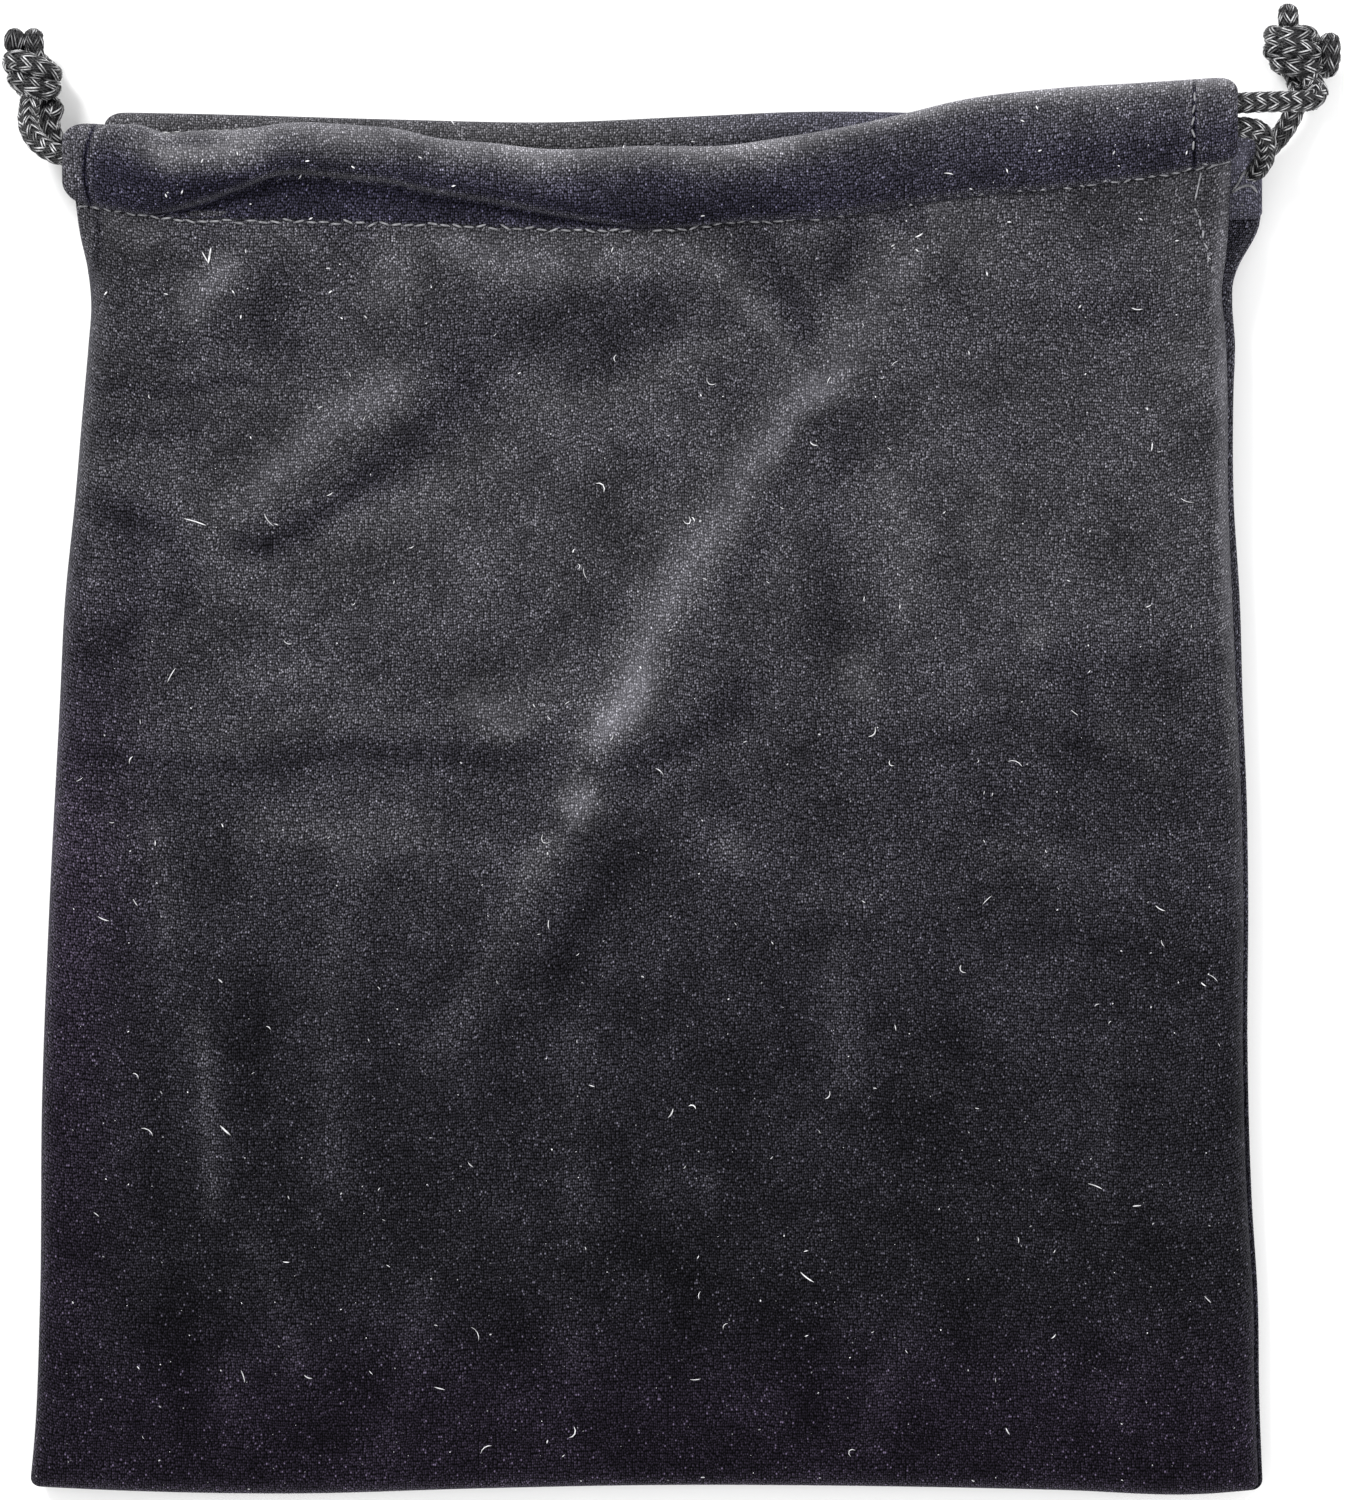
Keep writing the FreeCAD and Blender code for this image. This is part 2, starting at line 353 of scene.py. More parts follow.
def braid(line, narrow):
    """A round braid about a line: pairs of yarns both ways round a core, over two and under two."""
    ahead, side, up = carried_frames(line)
    around = 2 * np.pi * run_along(line) / braid_pitch
    # Painted glint: how much of it each side of a yarn gets, most on its outer crest.
    crest = np.clip(np.cos(np.linspace(0, 2 * np.pi, yarn_sides, endpoint=False)), 0, 1) ** 3
    chance = np.random.default_rng(SEED)
    parts = []
    for way in (1, -1):
        for carrier in range(carriers_each_way):
            for yarn in range(yarns):
                turn = way * around + 2 * np.pi * carrier / carriers_each_way
                weave = way * np.sin(carriers_each_way / 2 * turn)
                turn = turn + (yarn - (yarns - 1) / 2) * yarn_spacing
                out = np.cos(turn)[:, None] * side + np.sin(turn)[:, None] * up
                middle = line + (narrow * (braid_radius + weave_lift * weave))[:, None] * out
                heading = unit(np.gradient(middle, axis=0))
                skin = tube_skin(middle, heading, out, yarn_radius * narrow, yarn_sides)
                passes = np.cumsum(np.diff(weave > 0, prepend=False))
                # Painted glint of each float where its carrier comes over, at a random strength.
                glint_strength = chance.uniform(0.45, 1.15, passes.max() + 1)[passes]
                parts.append((*skin, np.outer(glint_strength * np.clip(weave, 0, 1) ** 0.7, crest).ravel()))
    core = tube_skin(line, ahead, side, core_radius * narrow, core_sides)
    parts.append((*core, np.zeros(len(line) * core_sides)))
    return parts


def joined(parts):
    """One list of vertices and one of faces from several skins."""
    points, faces, start = [], [], 0
    for skin, quads, ends, _ in parts:
        points.append(skin)
        faces.extend((quads + start).tolist())
        faces.extend([[start + k for k in end] for end in ends])
        start += len(skin)
    return np.concatenate(points), faces


def new_object(name, points, faces, material):
    mesh = bpy.data.meshes.new(name)
    mesh.from_pydata((np.asarray(points) * MM).tolist(), [], faces)
    mesh.polygons.foreach_set("use_smooth", np.ones(len(mesh.polygons), bool))
    mesh.materials.append(material)
    mesh.update()
    return in_scene(name, mesh)


def braided_piece(name, parts, body, node, material):
    piece = new_object(name, *joined(parts), material)
    # The painted glint, for the material to read.
    paint(piece.data, "crown_glint", np.concatenate([part[3] for part in parts]))
    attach(piece, body)
    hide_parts(node)
    return piece


tail_end = 1.2  # how much of a cut tail narrows


def make_knot(name, strands, body, node, material):
    """The tied ends of one cord: two braids wound round each other, with their tails cut short."""
    parts = []
    for number, route in enumerate(strands):
        line = spline_points(f"{name}_{number}", route, braid_step)
        left = np.linspace(len(line) - 1, 0, len(line)) * braid_step
        parts += braid(line, np.sqrt(np.clip(1 - (1 - np.clip(left / tail_end, 0, 1)) ** 2, 0.12, 1)))
    return braided_piece(name, parts, body, node, material)


def make_drawstring(name, route, body, node, material):
    line = spline_points(name, route, braid_step)
    piece = braided_piece(name, braid(line, np.ones(len(line))), body, node, material)


# --- Materials
TUFTS_ALONG, ROWS_UP = 3300.0, 2400.0  # tufts of pile to the metre, along a knitted row and across it
TUFT_GAIN, STRAY_GAIN = 3.08, 3.5  # brightness of a tuft's tip, and what a stray bright tuft has on top
STRAYS_ABOVE = 0.984  # of a tuft's chance, 0 to 1


class Nodes:
    """Short words for building a material's nodes."""

    def __init__(self, name):
        self.material = bpy.data.materials.new(name)
        self.material.use_nodes = True
        self.tree = self.material.node_tree
        self.shader = self.tree.nodes["Principled BSDF"]

    def add(self, kind, settings=(), **inputs):
        node = self.tree.nodes.new(kind)
        for key, value in dict(settings).items():
            setattr(node, key, value)
        for key, value in inputs.items():
            self.put(node, key.replace("_", " "), value)
        return node

    def put(self, node, key, value):
        socket = node.inputs[int(key) if key.isdigit() else key]
        if isinstance(value, bpy.types.NodeSocket):
            self.tree.links.new(value, socket)
        else:
            socket.default_value = value

    def math(self, operation, a, b):
        node = self.tree.nodes.new("ShaderNodeMath")
        node.operation = operation
        self.put(node, "0", a)
        self.put(node, "1", b)
        return node.outputs[0]

    def span(self, value, low, high, to_low, to_high):
        node = self.tree.nodes.new("ShaderNodeMapRange")
        for key, setting in zip(range(5), (value, low, high, to_low, to_high)):
            self.put(node, str(key), setting)
        return node.outputs[0]

    def blend(self, share, a, b, kind="MIX"):
        node = self.tree.nodes.new("ShaderNodeMix")
        node.data_type, node.blend_type = "RGBA", kind
        self.put(node, "0", share)
        for key, value in (("6", a), ("7", b)):
            self.put(node, key, value)
        return node.outputs[2]

    def attribute(self, name):
        return self.add("ShaderNodeAttribute", {"attribute_name": name})

    def place(self):
        return self.add("ShaderNodeTexCoord").outputs["Object"]

    def bump(self, height, strength, distance):
        bump = self.add("ShaderNodeBump", Strength=strength, Distance=distance, Height=height)
        self.put(self.shader, "Normal", bump.outputs["Normal"])

    def noise(self, where, scale, detail, rough):
        node = self.add("ShaderNodeTexNoise", Scale=scale, Detail=detail, Roughness=rough)
        self.put(node, "Vector", where)
        return node.outputs["Fac"]

    def stretched(self, where, scale):
        node = self.add("ShaderNodeMapping")
        self.put(node, "Vector", where)
        node.inputs["Scale"].default_value = scale
        return node.outputs["Vector"]


def velvet_material():
    """Charcoal velvet: tufts of pile in knitted rows, with specks of lint, and painted light, shade and
    sheen carried in by the pile attribute.
    """
    n = Nodes("charcoal_velvet")
    where = n.attribute("lay").outputs["Vector"]
    # The pile's brightness, with its painted light, shade and sheen.
    pile = n.attribute("pile").outputs["Fac"]

    def wandering(scale, reach):
        drift = n.add("ShaderNodeTexNoise", Scale=scale, Detail=1.0)
        n.put(drift, "Vector", where)
        small = n.add("ShaderNodeVectorMath", {"operation": "SCALE"})
        n.put(small, "0", drift.outputs["Color"])
        small.inputs["Scale"].default_value = reach
        moved = n.add("ShaderNodeVectorMath", {"operation": "ADD"})
        n.put(moved, "0", where)
        n.put(moved, "1", small.outputs[0])
        return moved.outputs[0]

    cells = {"voronoi_dimensions": "2D"}
    tufts = n.add("ShaderNodeTexVoronoi", cells, Scale=1.0, Randomness=0.6)
    n.put(tufts, "Vector", n.stretched(wandering(200.0, 0.0007), (TUFTS_ALONG, ROWS_UP, 1.0)))
    chance = n.add("ShaderNodeSeparateColor")
    n.put(chance, "Color", tufts.outputs["Color"])
    tip = n.math("POWER", n.span(tufts.outputs["Distance"], 0.06, 0.6, 1.0, 0.0), 1.5)
    bright = n.math("ADD", 0.66, n.math("MULTIPLY", n.math("POWER", chance.outputs["Red"], 4.0), 1.7))
    tuft = n.math("ADD", 0.08, n.math("MULTIPLY", n.math("MULTIPLY", tip, bright), TUFT_GAIN))
    stray = n.math("MULTIPLY", n.math("GREATER_THAN", chance.outputs["Green"], STRAYS_ABOVE), tip)
    tuft = n.math("ADD", tuft, n.math("MULTIPLY", stray, STRAY_GAIN))
    even = n.span(pile, 0.03, 0.11, 0.0, 0.4)
    tuft = n.math("ADD", n.math("MULTIPLY", tuft, n.math("SUBTRACT", 1.0, even)), even)

    cloud = n.noise(where, 60.0, 4.0, 0.6)
    mottle = n.noise(where, 420.0, 3.0, 0.65)
    lit = n.math("MULTIPLY", pile, n.span(cloud, 0.3, 0.7, 0.56, 1.46))
    lit = n.math("MULTIPLY", lit, n.span(mottle, 0.3, 0.7, 0.86, 1.14))
    base = n.math("ADD", n.math("MULTIPLY", lit, tuft), n.math("MULTIPLY", stray, 0.11))
    tone = n.blend(base, (0.0, 0.0, 0.0, 1), (0.99, 0.97, 1.085, 1))
    # Painted shade: the darker the pile, the more violet its tone.
    violet = n.blend(1.0, tone, (0.98, 0.95, 1.12, 1), "MULTIPLY")
    tone = n.blend(n.span(pile, 0.008, 0.05, 0.9, 0.0), tone, violet)
    tint = n.attribute("tint").outputs["Vector"]
    tone = n.blend(1.0, tone, tint, "MULTIPLY")

    specks = n.add("ShaderNodeTexVoronoi", cells, Scale=230.0, Randomness=1.0)
    n.put(specks, "Vector", wandering(900.0, 0.0009))
    luck = n.add("ShaderNodeSeparateColor")
    n.put(luck, "Color", specks.outputs["Color"])
    size = n.span(n.math("POWER", luck.outputs["Red"], 3.0), 0.1, 1.0, 0.01, 0.028)
    lint = n.math("LESS_THAN", specks.outputs["Distance"], size)
    paleness = n.math("POWER", luck.outputs["Green"], 2.0)
    tone = n.blend(lint, tone, n.blend(paleness, (0.12, 0.12, 0.13, 1), (0.85, 0.85, 0.87, 1)))

    n.put(n.shader, "Base Color", tone)
    n.shader.inputs["Roughness"].default_value = 0.95
    n.shader.inputs["Specular IOR Level"].default_value = 0.04
    n.shader.inputs["Sheen Weight"].default_value = 0.1
    n.shader.inputs["Sheen Roughness"].default_value = 0.3
    n.shader.inputs["Sheen Tint"].default_value = (0.9, 0.9, 1.0, 1)
    n.bump(n.math("ADD", tip, mottle), 0.6, 0.00025)
    return n.material


def braid_material():
    """Black filament yarn with a silky shine, and a painted glint along the crest of each yarn where its
    carrier comes over the others.
    """
    n = Nodes("black_braid")
    where = n.place()
    crown_glint = n.attribute("crown_glint").outputs["Fac"]
    patch = n.noise(where, 1300.0, 1.0, 0.5)
    fibres = n.noise(where, 7000.0, 2.0, 0.6)
    # Painted glint, broken up by patches and fibres.
    pale_mark = n.math("MULTIPLY", n.span(crown_glint, 0.28, 0.84, 0.0, 1.0), n.span(patch, 0.35, 0.5, 0.45, 1.0))
    pale_mark = n.math("MULTIPLY", pale_mark, n.span(fibres, 0.3, 0.65, 0.35, 1.0))
    n.put(n.shader, "Base Color", n.blend(pale_mark, (0.01, 0.01, 0.011, 1), (0.88, 0.88, 0.9, 1)))
    n.put(n.shader, "Roughness", n.span(fibres, 0.3, 0.7, 0.18, 0.34))
    n.shader.inputs["Specular IOR Level"].default_value = 0.3
    n.bump(fibres, 0.5, 0.0001)
    return n.material


def thread_material():
    """Grey sewing thread with the pile's fluff on it."""
    n = Nodes("grey_thread")
    where = n.place()
    fluff = n.noise(where, 1500.0, 3.0, 0.7)
    share = n.span(fluff, 0.3, 0.7, 0.0, 1.0)
    n.put(n.shader, "Base Color", n.blend(share, (0.06, 0.06, 0.065, 1), (0.3, 0.3, 0.32, 1)))
    n.shader.inputs["Roughness"].default_value = 0.85
    n.shader.inputs["Sheen Weight"].default_value = 0.2
    n.bump(fluff, 0.5, 0.0002)
    return n.material


def lint_material():
    n = Nodes("pale_lint")
    where = n.place()
    uneven = n.span(n.noise(where, 900.0, 2.0, 0.6), 0.3, 0.7, 0.0, 1.0)
    n.put(n.shader, "Base Color", n.blend(uneven, (0.32, 0.32, 0.33, 1), (0.85, 0.85, 0.87, 1)))
    n.shader.inputs["Roughness"].default_value = 0.8
    return n.material


# --- Outlines of the cloth as it lies
left_seam = [(-99, -88.9), (-93, -88.3), (-72, -87.4), (-43, -87.1), (-14, -86.0), (15, -84.5),
             (29, -83.8), (44, -82.3), (58, -81.1)]
front_left_x = smooth_curve(left_seam + [(66, -80.4), (72, -80.0), (77, -80.5), (82, -81.6), (88, -82.4)])
back_left_x = smooth_curve(left_seam + [(66, -80.3), (72, -79.6), (80, -78.9), (88, -78.6)])
front_right_x = smooth_curve(
    [(-99, 88.5), (-86, 87.9), (-72, 87.7), (-57, 86.8), (-35, 86.2), (-14, 86.3), (0, 86.0), (15, 85.3),
     (29, 84.7), (44, 84.1), (60, 84.0), (68, 83.7), (74, 83.2), (79, 83.8), (94, 84.6)]
)
back_right_x = smooth_curve(
    [(-99, 89.1), (-86, 88.6), (-72, 88.4), (-57, 87.5), (-35, 86.9), (-14, 87.0), (0, 86.8), (15, 86.2),
     (29, 85.8), (44, 84.9), (60, 84.9), (66, 85.1), (72, 84.7), (75, 84.8), (77, 85.4), (79, 86.4),
     (81, 87.6), (83, 88.5), (86, 88.9)]
)
bottom_line = smooth_curve(
    [(-90, -98.6), (-75, -99.3), (-50, -99.7), (-25, -99.0), (0, -98.5), (30, -98.6), (60, -99.2),
     (80, -99.8), (90, -99.0)]
)
front_line = smooth_curve(
    [(-85, 86.3), (-80, 86.1), (-71, 84.6), (-62, 84.2), (-50, 84.0), (-39, 83.6), (-26, 83.3),
     (-14, 82.8), (8, 83.2), (12, 83.8), (25, 84.7), (37, 86.4), (45, 87.6), (61, 89.0), (73, 90.4),
     (80, 91.6), (86, 92.8)]
)
front_top = smooth_curve(
    [(-85, 98.3), (-78, 97.9), (-72, 97.6), (-69.5, 96.6), (-66, 96.9), (-58, 97.2), (-52, 98.1),
     (-42, 97.8), (-35, 97.1), (-31, 96.1), (-22, 95.2), (-15, 94.4), (0, 94.8), (12, 94.9), (19, 95.9),
     (28, 97.4), (38, 99.6), (45, 101.3), (58, 103.0), (73, 104.0), (86, 104.9)]
)
back_line = smooth_curve(
    [(-80, 87.4), (-50, 86.9), (-14, 86.2), (20, 87.6), (40, 86.6), (65, 84.6), (84, 84.0), (90, 84.2)]
)
back_top = smooth_curve(
    [(-80, 99.7), (-64, 99.4), (-36, 98.6), (-14, 98.2), (8, 99.1), (22, 99.7), (37, 99.6), (60, 98.0),
     (84, 97.4), (90, 97.4)]
)
# The casing bulges over its row of stitches here: the lower edge of the roll, above the row.
roll_lift = smooth_curve(
    [(-85, 0.0), (-72, 0.2), (-66, 1.6), (-59, 4.2), (-53, 6.4), (-44, 6.3), (-38, 6.0), (-32, 4.8),
     (-26, 3.9), (-19, 3.0), (-12, 1.8), (-5, 0.9), (6, 0.2), (90, 0.0)]
)


# A side is 1 for the front layer and -1 for the back one. An end is -1 for the left and 1 for the right.
side_edges = {1: (front_left_x, front_right_x), -1: (back_left_x, back_right_x)}
stitch_lines = {1: front_line, -1: back_line}
end_names = {-1: "left", 1: "right"}


def edge_level(y, side):
    """Height of the seam between the layers, and above the slit of each layer's own hemmed edge."""
    share = (y - bottom_y) / (stitch_y - bottom_y)
    middle = mix(closed_depth / 2, line_height / 2, share)
    parted = ease((y - slit_y) / (stitch_y - slit_y))
    own = front_level - 0.9 if side > 0 else back_level - 0.9
    return mix(middle, own, parted)


def face_level(x, y, side):
    """Height of a layer's outer face between its rolled edges, before any creases."""
    if side < 0:
        return np.zeros(np.shape(x)) + 0.02
    share = (y - bottom_y) / (stitch_y - bottom_y)
    sag = 0.9 * np.cos(np.pi * np.clip(x / 88, -1, 1) / 2) * np.sin(np.pi * np.clip(share, 0, 1)) ** 0.8
    return mix(closed_depth - 0.9, line_height, np.clip(share, 0, 1.1) ** 1.15) - sag


# --- Pile, with its painted light and shade, and creases
# Brightness of the pile down the bag, from its bottom to its top. Brightnesses are screen levels, 0 to 255.
pile_down = smooth_curve(
    [(-99, 34), (-90, 35), (-80, 37), (-70, 38), (-60, 41), (-50, 42), (-42, 44), (-30, 48), (-20, 52),
     (-10, 57), (0, 62), (10, 67), (20, 69), (30, 74), (40, 76), (50, 75), (60, 75), (70, 72), (80, 73),
     (105, 79)]
)
# Painted sheen of pile brushed another way, and painted light and shade along folds: points along the
# stroke, width, change of brightness, and how much softer it is on its left side where it is. Then the short
# straight ones: x, y, x, y, width, change.
brushed_sheen_strokes = [
    ([(-8, 7), (-4, 14), (1, 24), (6, 33), (13, 42), (19.5, 52), (25, 61), (28, 68)], 3.0, 23, 1.5),
    ([(-5, 10), (-2, 17), (2, 22)], 4.6, 10), ([(-8, 6), (-4, 13), (0, 20)], 2.0, 26, 1.8),
    ([(22, 58), (30, 69), (37, 77), (44, 88)], 3.6, 19, 1.2), ([(27, 44), (31, 52), (34, 58)], 2.4, -6),
    ([(-12, -3), (-16, -6), (-17, -11)], 2.6, 22, 1.2),
    ([(-17, -10), (-22, -21), (-28, -32), (-32, -40)], 2.4, 15, 1.6),
    ([(-20, -4), (-28, -12), (-36, -18)], 6.0, 7, 1.2), ([(-12, 20), (-18, 14)], 5.0, 8, 1.2),
    ([(16, 16), (8, 11), (1, 6), (-4, 4)], 2.6, -17), ([(-2, -5), (-8, -15), (-14, -26)], 3.2, -12),
    ([(30, 60), (24, 50), (17, 40), (11, 30)], 2.6, -9), ([(76, 98), (77, 80), (78, 58)], 5.0, 8, 1.2),
    ([(-60, 81), (-30, 80), (10, 80)], 2.4, 5),
    ([(-33, 62), (-41, 58), (-50, 51), (-58, 44)], 3.0, 22, 1.3),
    ([(-23, 62), (-32, 55), (-42, 46)], 3.3, -19), ([(-40, 48), (-48, 41), (-55, 37)], 2.2, -20),
    ([(-58, 41), (-50, 46), (-43, 53)], 1.4, -7), ([(-20, 54), (-34, 43), (-46, 33)], 4.0, 5, 1.2),
    ([(13, 68), (6, 65), (-6, 61), (-18, 59)], 1.8, 10),
    ([(4, 74), (-8, 70), (-22, 68), (-30, 62)], 4.2, -13),
    ([(-67, 70), (-63, 75), (-60, 79)], 2.2, 30, 1.4), ([(-72, 66), (-60, 68), (-48, 72)], 3.4, -6),
    ([(-52, 78), (-55, 70), (-48, 64)], 3.0, -8), ([(-37, 78), (-34, 75), (-38, 70)], 3.0, 17, 1.2),
    ([(-30, 82), (-22, 79), (-10, 77), (4, 76)], 2.0, 18, 1.4), ([(6, 79), (12, 75), (20, 67)], 1.8, 16),
    ([(15, 82), (19, 76), (23, 68)], 2.2, -15), ([(-80, 83), (-72, 81)], 3.4, 13, 1.2),
    ([(-81, 61), (-68, 60), (-56, 61)], 1.5, -15), ([(-75, 38), (-74, 31), (-76, 22)], 1.8, -12),
    ([(-73, 44), (-77, 36), (-80, 20), (-82, 2)], 3.6, -9, 1.2),
    ([(-80, 42), (-70, 40), (-67, 31)], 3.2, -15), ([(58, 72), (84, 70)], 3.6, -4, 1.2),
    ([(81, 67), (76, 63)], 2.4, 4, 1.2), ([(45, 84), (52, 76)], 4.0, 8, 1.2),
    ([(36, 48), (39, 40), (38, 26)], 2.2, 7, 1.2), ([(28, 44), (26, 34), (27, 22)], 3.4, -9),
    ([(64, 9), (70, 6), (76, 2)], 1.8, 14), ([(61, 18), (63, 10), (60, 4)], 2.4, -14),
    ([(24, 8), (42, 9), (58, 11)], 2.2, -7), ([(-27, 17), (-21, 13), (-17, 9)], 3.0, 24, 1.2),
    ([(-62, 17), (-48, 18), (-34, 16)], 1.8, 7), ([(-66, 10), (-48, 11), (-30, 11)], 1.8, 8),
    ([(-82, 6), (-60, 5.5), (-36, 6), (-18, 7), (-11, 6.5)], 1.9, -15),
    ([(-58, -3), (-44, -5), (-28, -4)], 3.6, 15, 1.2), ([(-82, 0.5), (-66, 0), (-50, 1)], 3.2, -6),
    ([(-78, 34), (-76, 20), (-80, 4)], 3.0, -7, 1.2), ([(-83, 40), (-84, 24), (-85, 0)], 2.0, -12),
    ([(-71, -2), (-69, -12), (-70, -20)], 1.8, 14, 1.2),
    ([(-67, -30), (-64, -40), (-62, -50), (-61, -60)], 1.8, 22, 1.2),
    ([(-69, -56), (-69, -74), (-66, -92)], 3.0, -6), ([(-45, -14), (-46, -34), (-44, -58)], 3.2, 11, 1.2),
    ([(-57, -62), (-53, -74), (-50, -84)], 2.2, 9), ([(-34, -82), (-31, -70), (-26, -62)], 2.4, 9),
    ([(-13, -82), (-9, -62), (-10, -50), (-11, -30)], 2.8, 9, 1.2),
    ([(-4, -62), (6, -70), (2, -84)], 4.4, -6), ([(28, -18), (29, -42)], 2.2, 11, 1.2),
    ([(50, -7), (60, -8)], 2.8, 12, 1.2), ([(68, -34), (66, -46), (64, -66)], 3.0, 8, 1.2),
    ([(36, -78), (33, -94)], 2.2, 10, 1.2),
    ([(-80.4, 86.0), (-80.0, 80.5), (-80.2, 76.0), (-79.7, 70.0)], 0.45, -22),
]
touches = [
    (20, 47, 22, 53, 2.2, 9), (-11, -1, -7, 2, 2.6, 38), (-58, 45, -64, 44, 3.2, 6),
    (-53, 37, -59, 39, 1.6, -22), (-10, 66, 4, 70, 2.4, -6), (-48, 83, -38, 80, 2.6, -14),
    (26, 74, 32, 84, 2.4, -14), (-80, 54, -64, 54, 2.4, -10), (38, 84, 42, 78, 3.0, -7),
    (50, 48, 51, 36, 3.2, 6), (56, 26, 57, 23, 2.0, 17), (30, 23, 32, 15, 3.0, 22),
    (32, 2, 84, 3, 7.0, -7), (57, 21, 76, 20, 4.2, -7), (-76, -10, -77, -30, 2.2, -7),
    (-72, -38, -70, -58, 2.6, -7), (-58, -26, -56, -46, 2.8, -7), (-31, -34, -28, -46, 3.0, -6),
    (1, -56, 3, -55, 1.8, 14), (8, -56, 11, -55, 1.8, 14), (9, -7, 14, -8, 2.4, 15),
    (8, 1, 14, 0, 3.0, -8), (20, -24, 22, -40, 2.4, -6), (22, -12, 34, -13, 1.8, 10),
    (48, -21, 74, -20, 3.6, -6), (42, -14, 44, -36, 3.0, -5), (24, -72, 24, -92, 2.6, -5),
    (78, -76, 66, -88, 4.0, 6), (-60, -80, -60, -94, 2.2, 8), (-40, -94, -34, -86, 3.0, 6),
    (36, 85.6, 42, 84.4, 2.4, -24), (-54, 42, -46, 38, 3.4, -8), (-66, 82, -58, 80, 3.0, -6),
    (-4, 66, -14, 61, 3.0, -7), (6, 61, 14, 59, 3.0, -6), (28, 52, 32, 47, 2.6, -8),
    (48, 52, 54, 48, 3.2, -7), (-82, 42, -70, 39, 3.0, -7), (-72, 31, -68, 28, 2.6, -6),
    (-4, 52, 4, 49, 2.6, -7), (-14, 32, -7, 29, 2.2, 8), (-42, -8, -38, -12, 2.6, 7),
    (-52, -28, -48, -32, 2.8, 6), (36, -40, 44, -40, 2.8, 5), (-14, 12, -8, 9, 2.2, -6),
    (-12, 2, -8, -1, 2.2, 6), (-24, 12, -18, 9, 2.2, 6), (47, 2, 53, -2, 2.6, -5),
    (-22, -38, -18, -42, 2.4, -6), (-62, -89, -58, -92, 2.4, -6), (-63, -68, -58, -72, 2.4, 6),
    (50, 80, 54, 76, 2.6, -4), (62, 72, 74, 69, 2.8, -5), (56, 21, 64, 19, 3.0, -6),
    (-70, 31, -68, 28, 2.6, -7), (-20, 31, 0, 29, 2.2, -6), (-82, 22, -79, 18, 2.6, -7),
    (72, -8, 84, -11, 3.4, -5), (38, -38, 42, -42, 3.0, 7), (18, -59, 22, -62, 2.6, -6),
    (-12, -68, -8, -72, 2.6, -6), (78, -78, 84, -86, 3.4, 6),
]
brushed_sheen_strokes += [([(x, y), (to_x, to_y)], width, change) for x, y, to_x, to_y, width, change in touches]
# Creases and soft folds in the front layer: points, width, height, and how much softer on the left side.
front_folds = [
    ([(-8, 6), (-1, 20), (12, 42), (29, 67), (46, 88)], 3.6, 0.9, 2.6),
    ([(-32, -42), (-20, -14), (-8, 2)], 3.4, 0.6, 1.6),
    ([(-31, 63), (-50, 52), (-60, 42)], 3.2, 0.9, 1.3), ([(-25, 61), (-44, 44), (-56, 37)], 2.8, -0.9),
    ([(12, 67), (-14, 60), (-30, 58)], 2.4, 0.6, 1.6), ([(10, 80), (14, 71), (20, 66)], 2.2, 0.7, 1.2),
    ([(15, 82), (20, 74)], 2.2, -0.6), ([(-67, 70), (-58, 79)], 2.6, 0.5, 1.4),
    ([(-38, 80), (-38, 68)], 4.0, 0.5, 1.4), ([(-82, 6), (-36, 6), (-10, 4)], 2.4, -0.45, 1.2),
    ([(-66, -26), (-61, -62)], 2.6, 0.8, 1.4), ([(-71, -30), (-67, -86)], 3.0, -0.6),
    ([(28, -16), (29, -44)], 3.6, 0.35, 1.2), ([(68, -34), (64, -66)], 4.0, 0.35, 1.2),
]


def drawn(x, y, strokes):
    """The sum of the strokes at each point."""
    total = np.zeros(np.shape(x))
    for points, width, strength, *softer in strokes:
        gap, side, share = along_line(x, y, points)
        reach = np.where(side > 0, width * softer[0], width) if softer else width
        fade = ease(share / 0.15 + 0.35) * ease((1 - share) / 0.15 + 0.35)
        total += strength * fade * np.exp(-((gap / reach) ** 2))
    return total


lightest = 0.64  # the albedo of pile at a screen level of 255
gamma = 2.2


def to_albedo(level):
    """How much light pile of that screen level sends back."""
    return lightest * (np.clip(level, 12, 220) / 255) ** gamma


def front_pile(x, y):
    edge = np.minimum(x - front_left_x(y), front_right_x(y) - x)
    # Painted highlights along the rolled edges, the bottom fold and down the right edge.
    rim = 5 * near(edge, 0.0, 1.4) + 14 * near(y, bottom_line(x), 1.4)
    rim = rim + 30 * near(front_right_x(y) - x, 0.9, 0.9) * ease((y + 20) / 60)
    wide_x, wide_y = wandered(x, y, 0.5, 6.0)
    # The strokes paint sheen of brushed pile, and light and shade along the folds.
    return to_albedo(pile_down(y) + drawn(wide_x, wide_y, brushed_sheen_strokes) + rim)


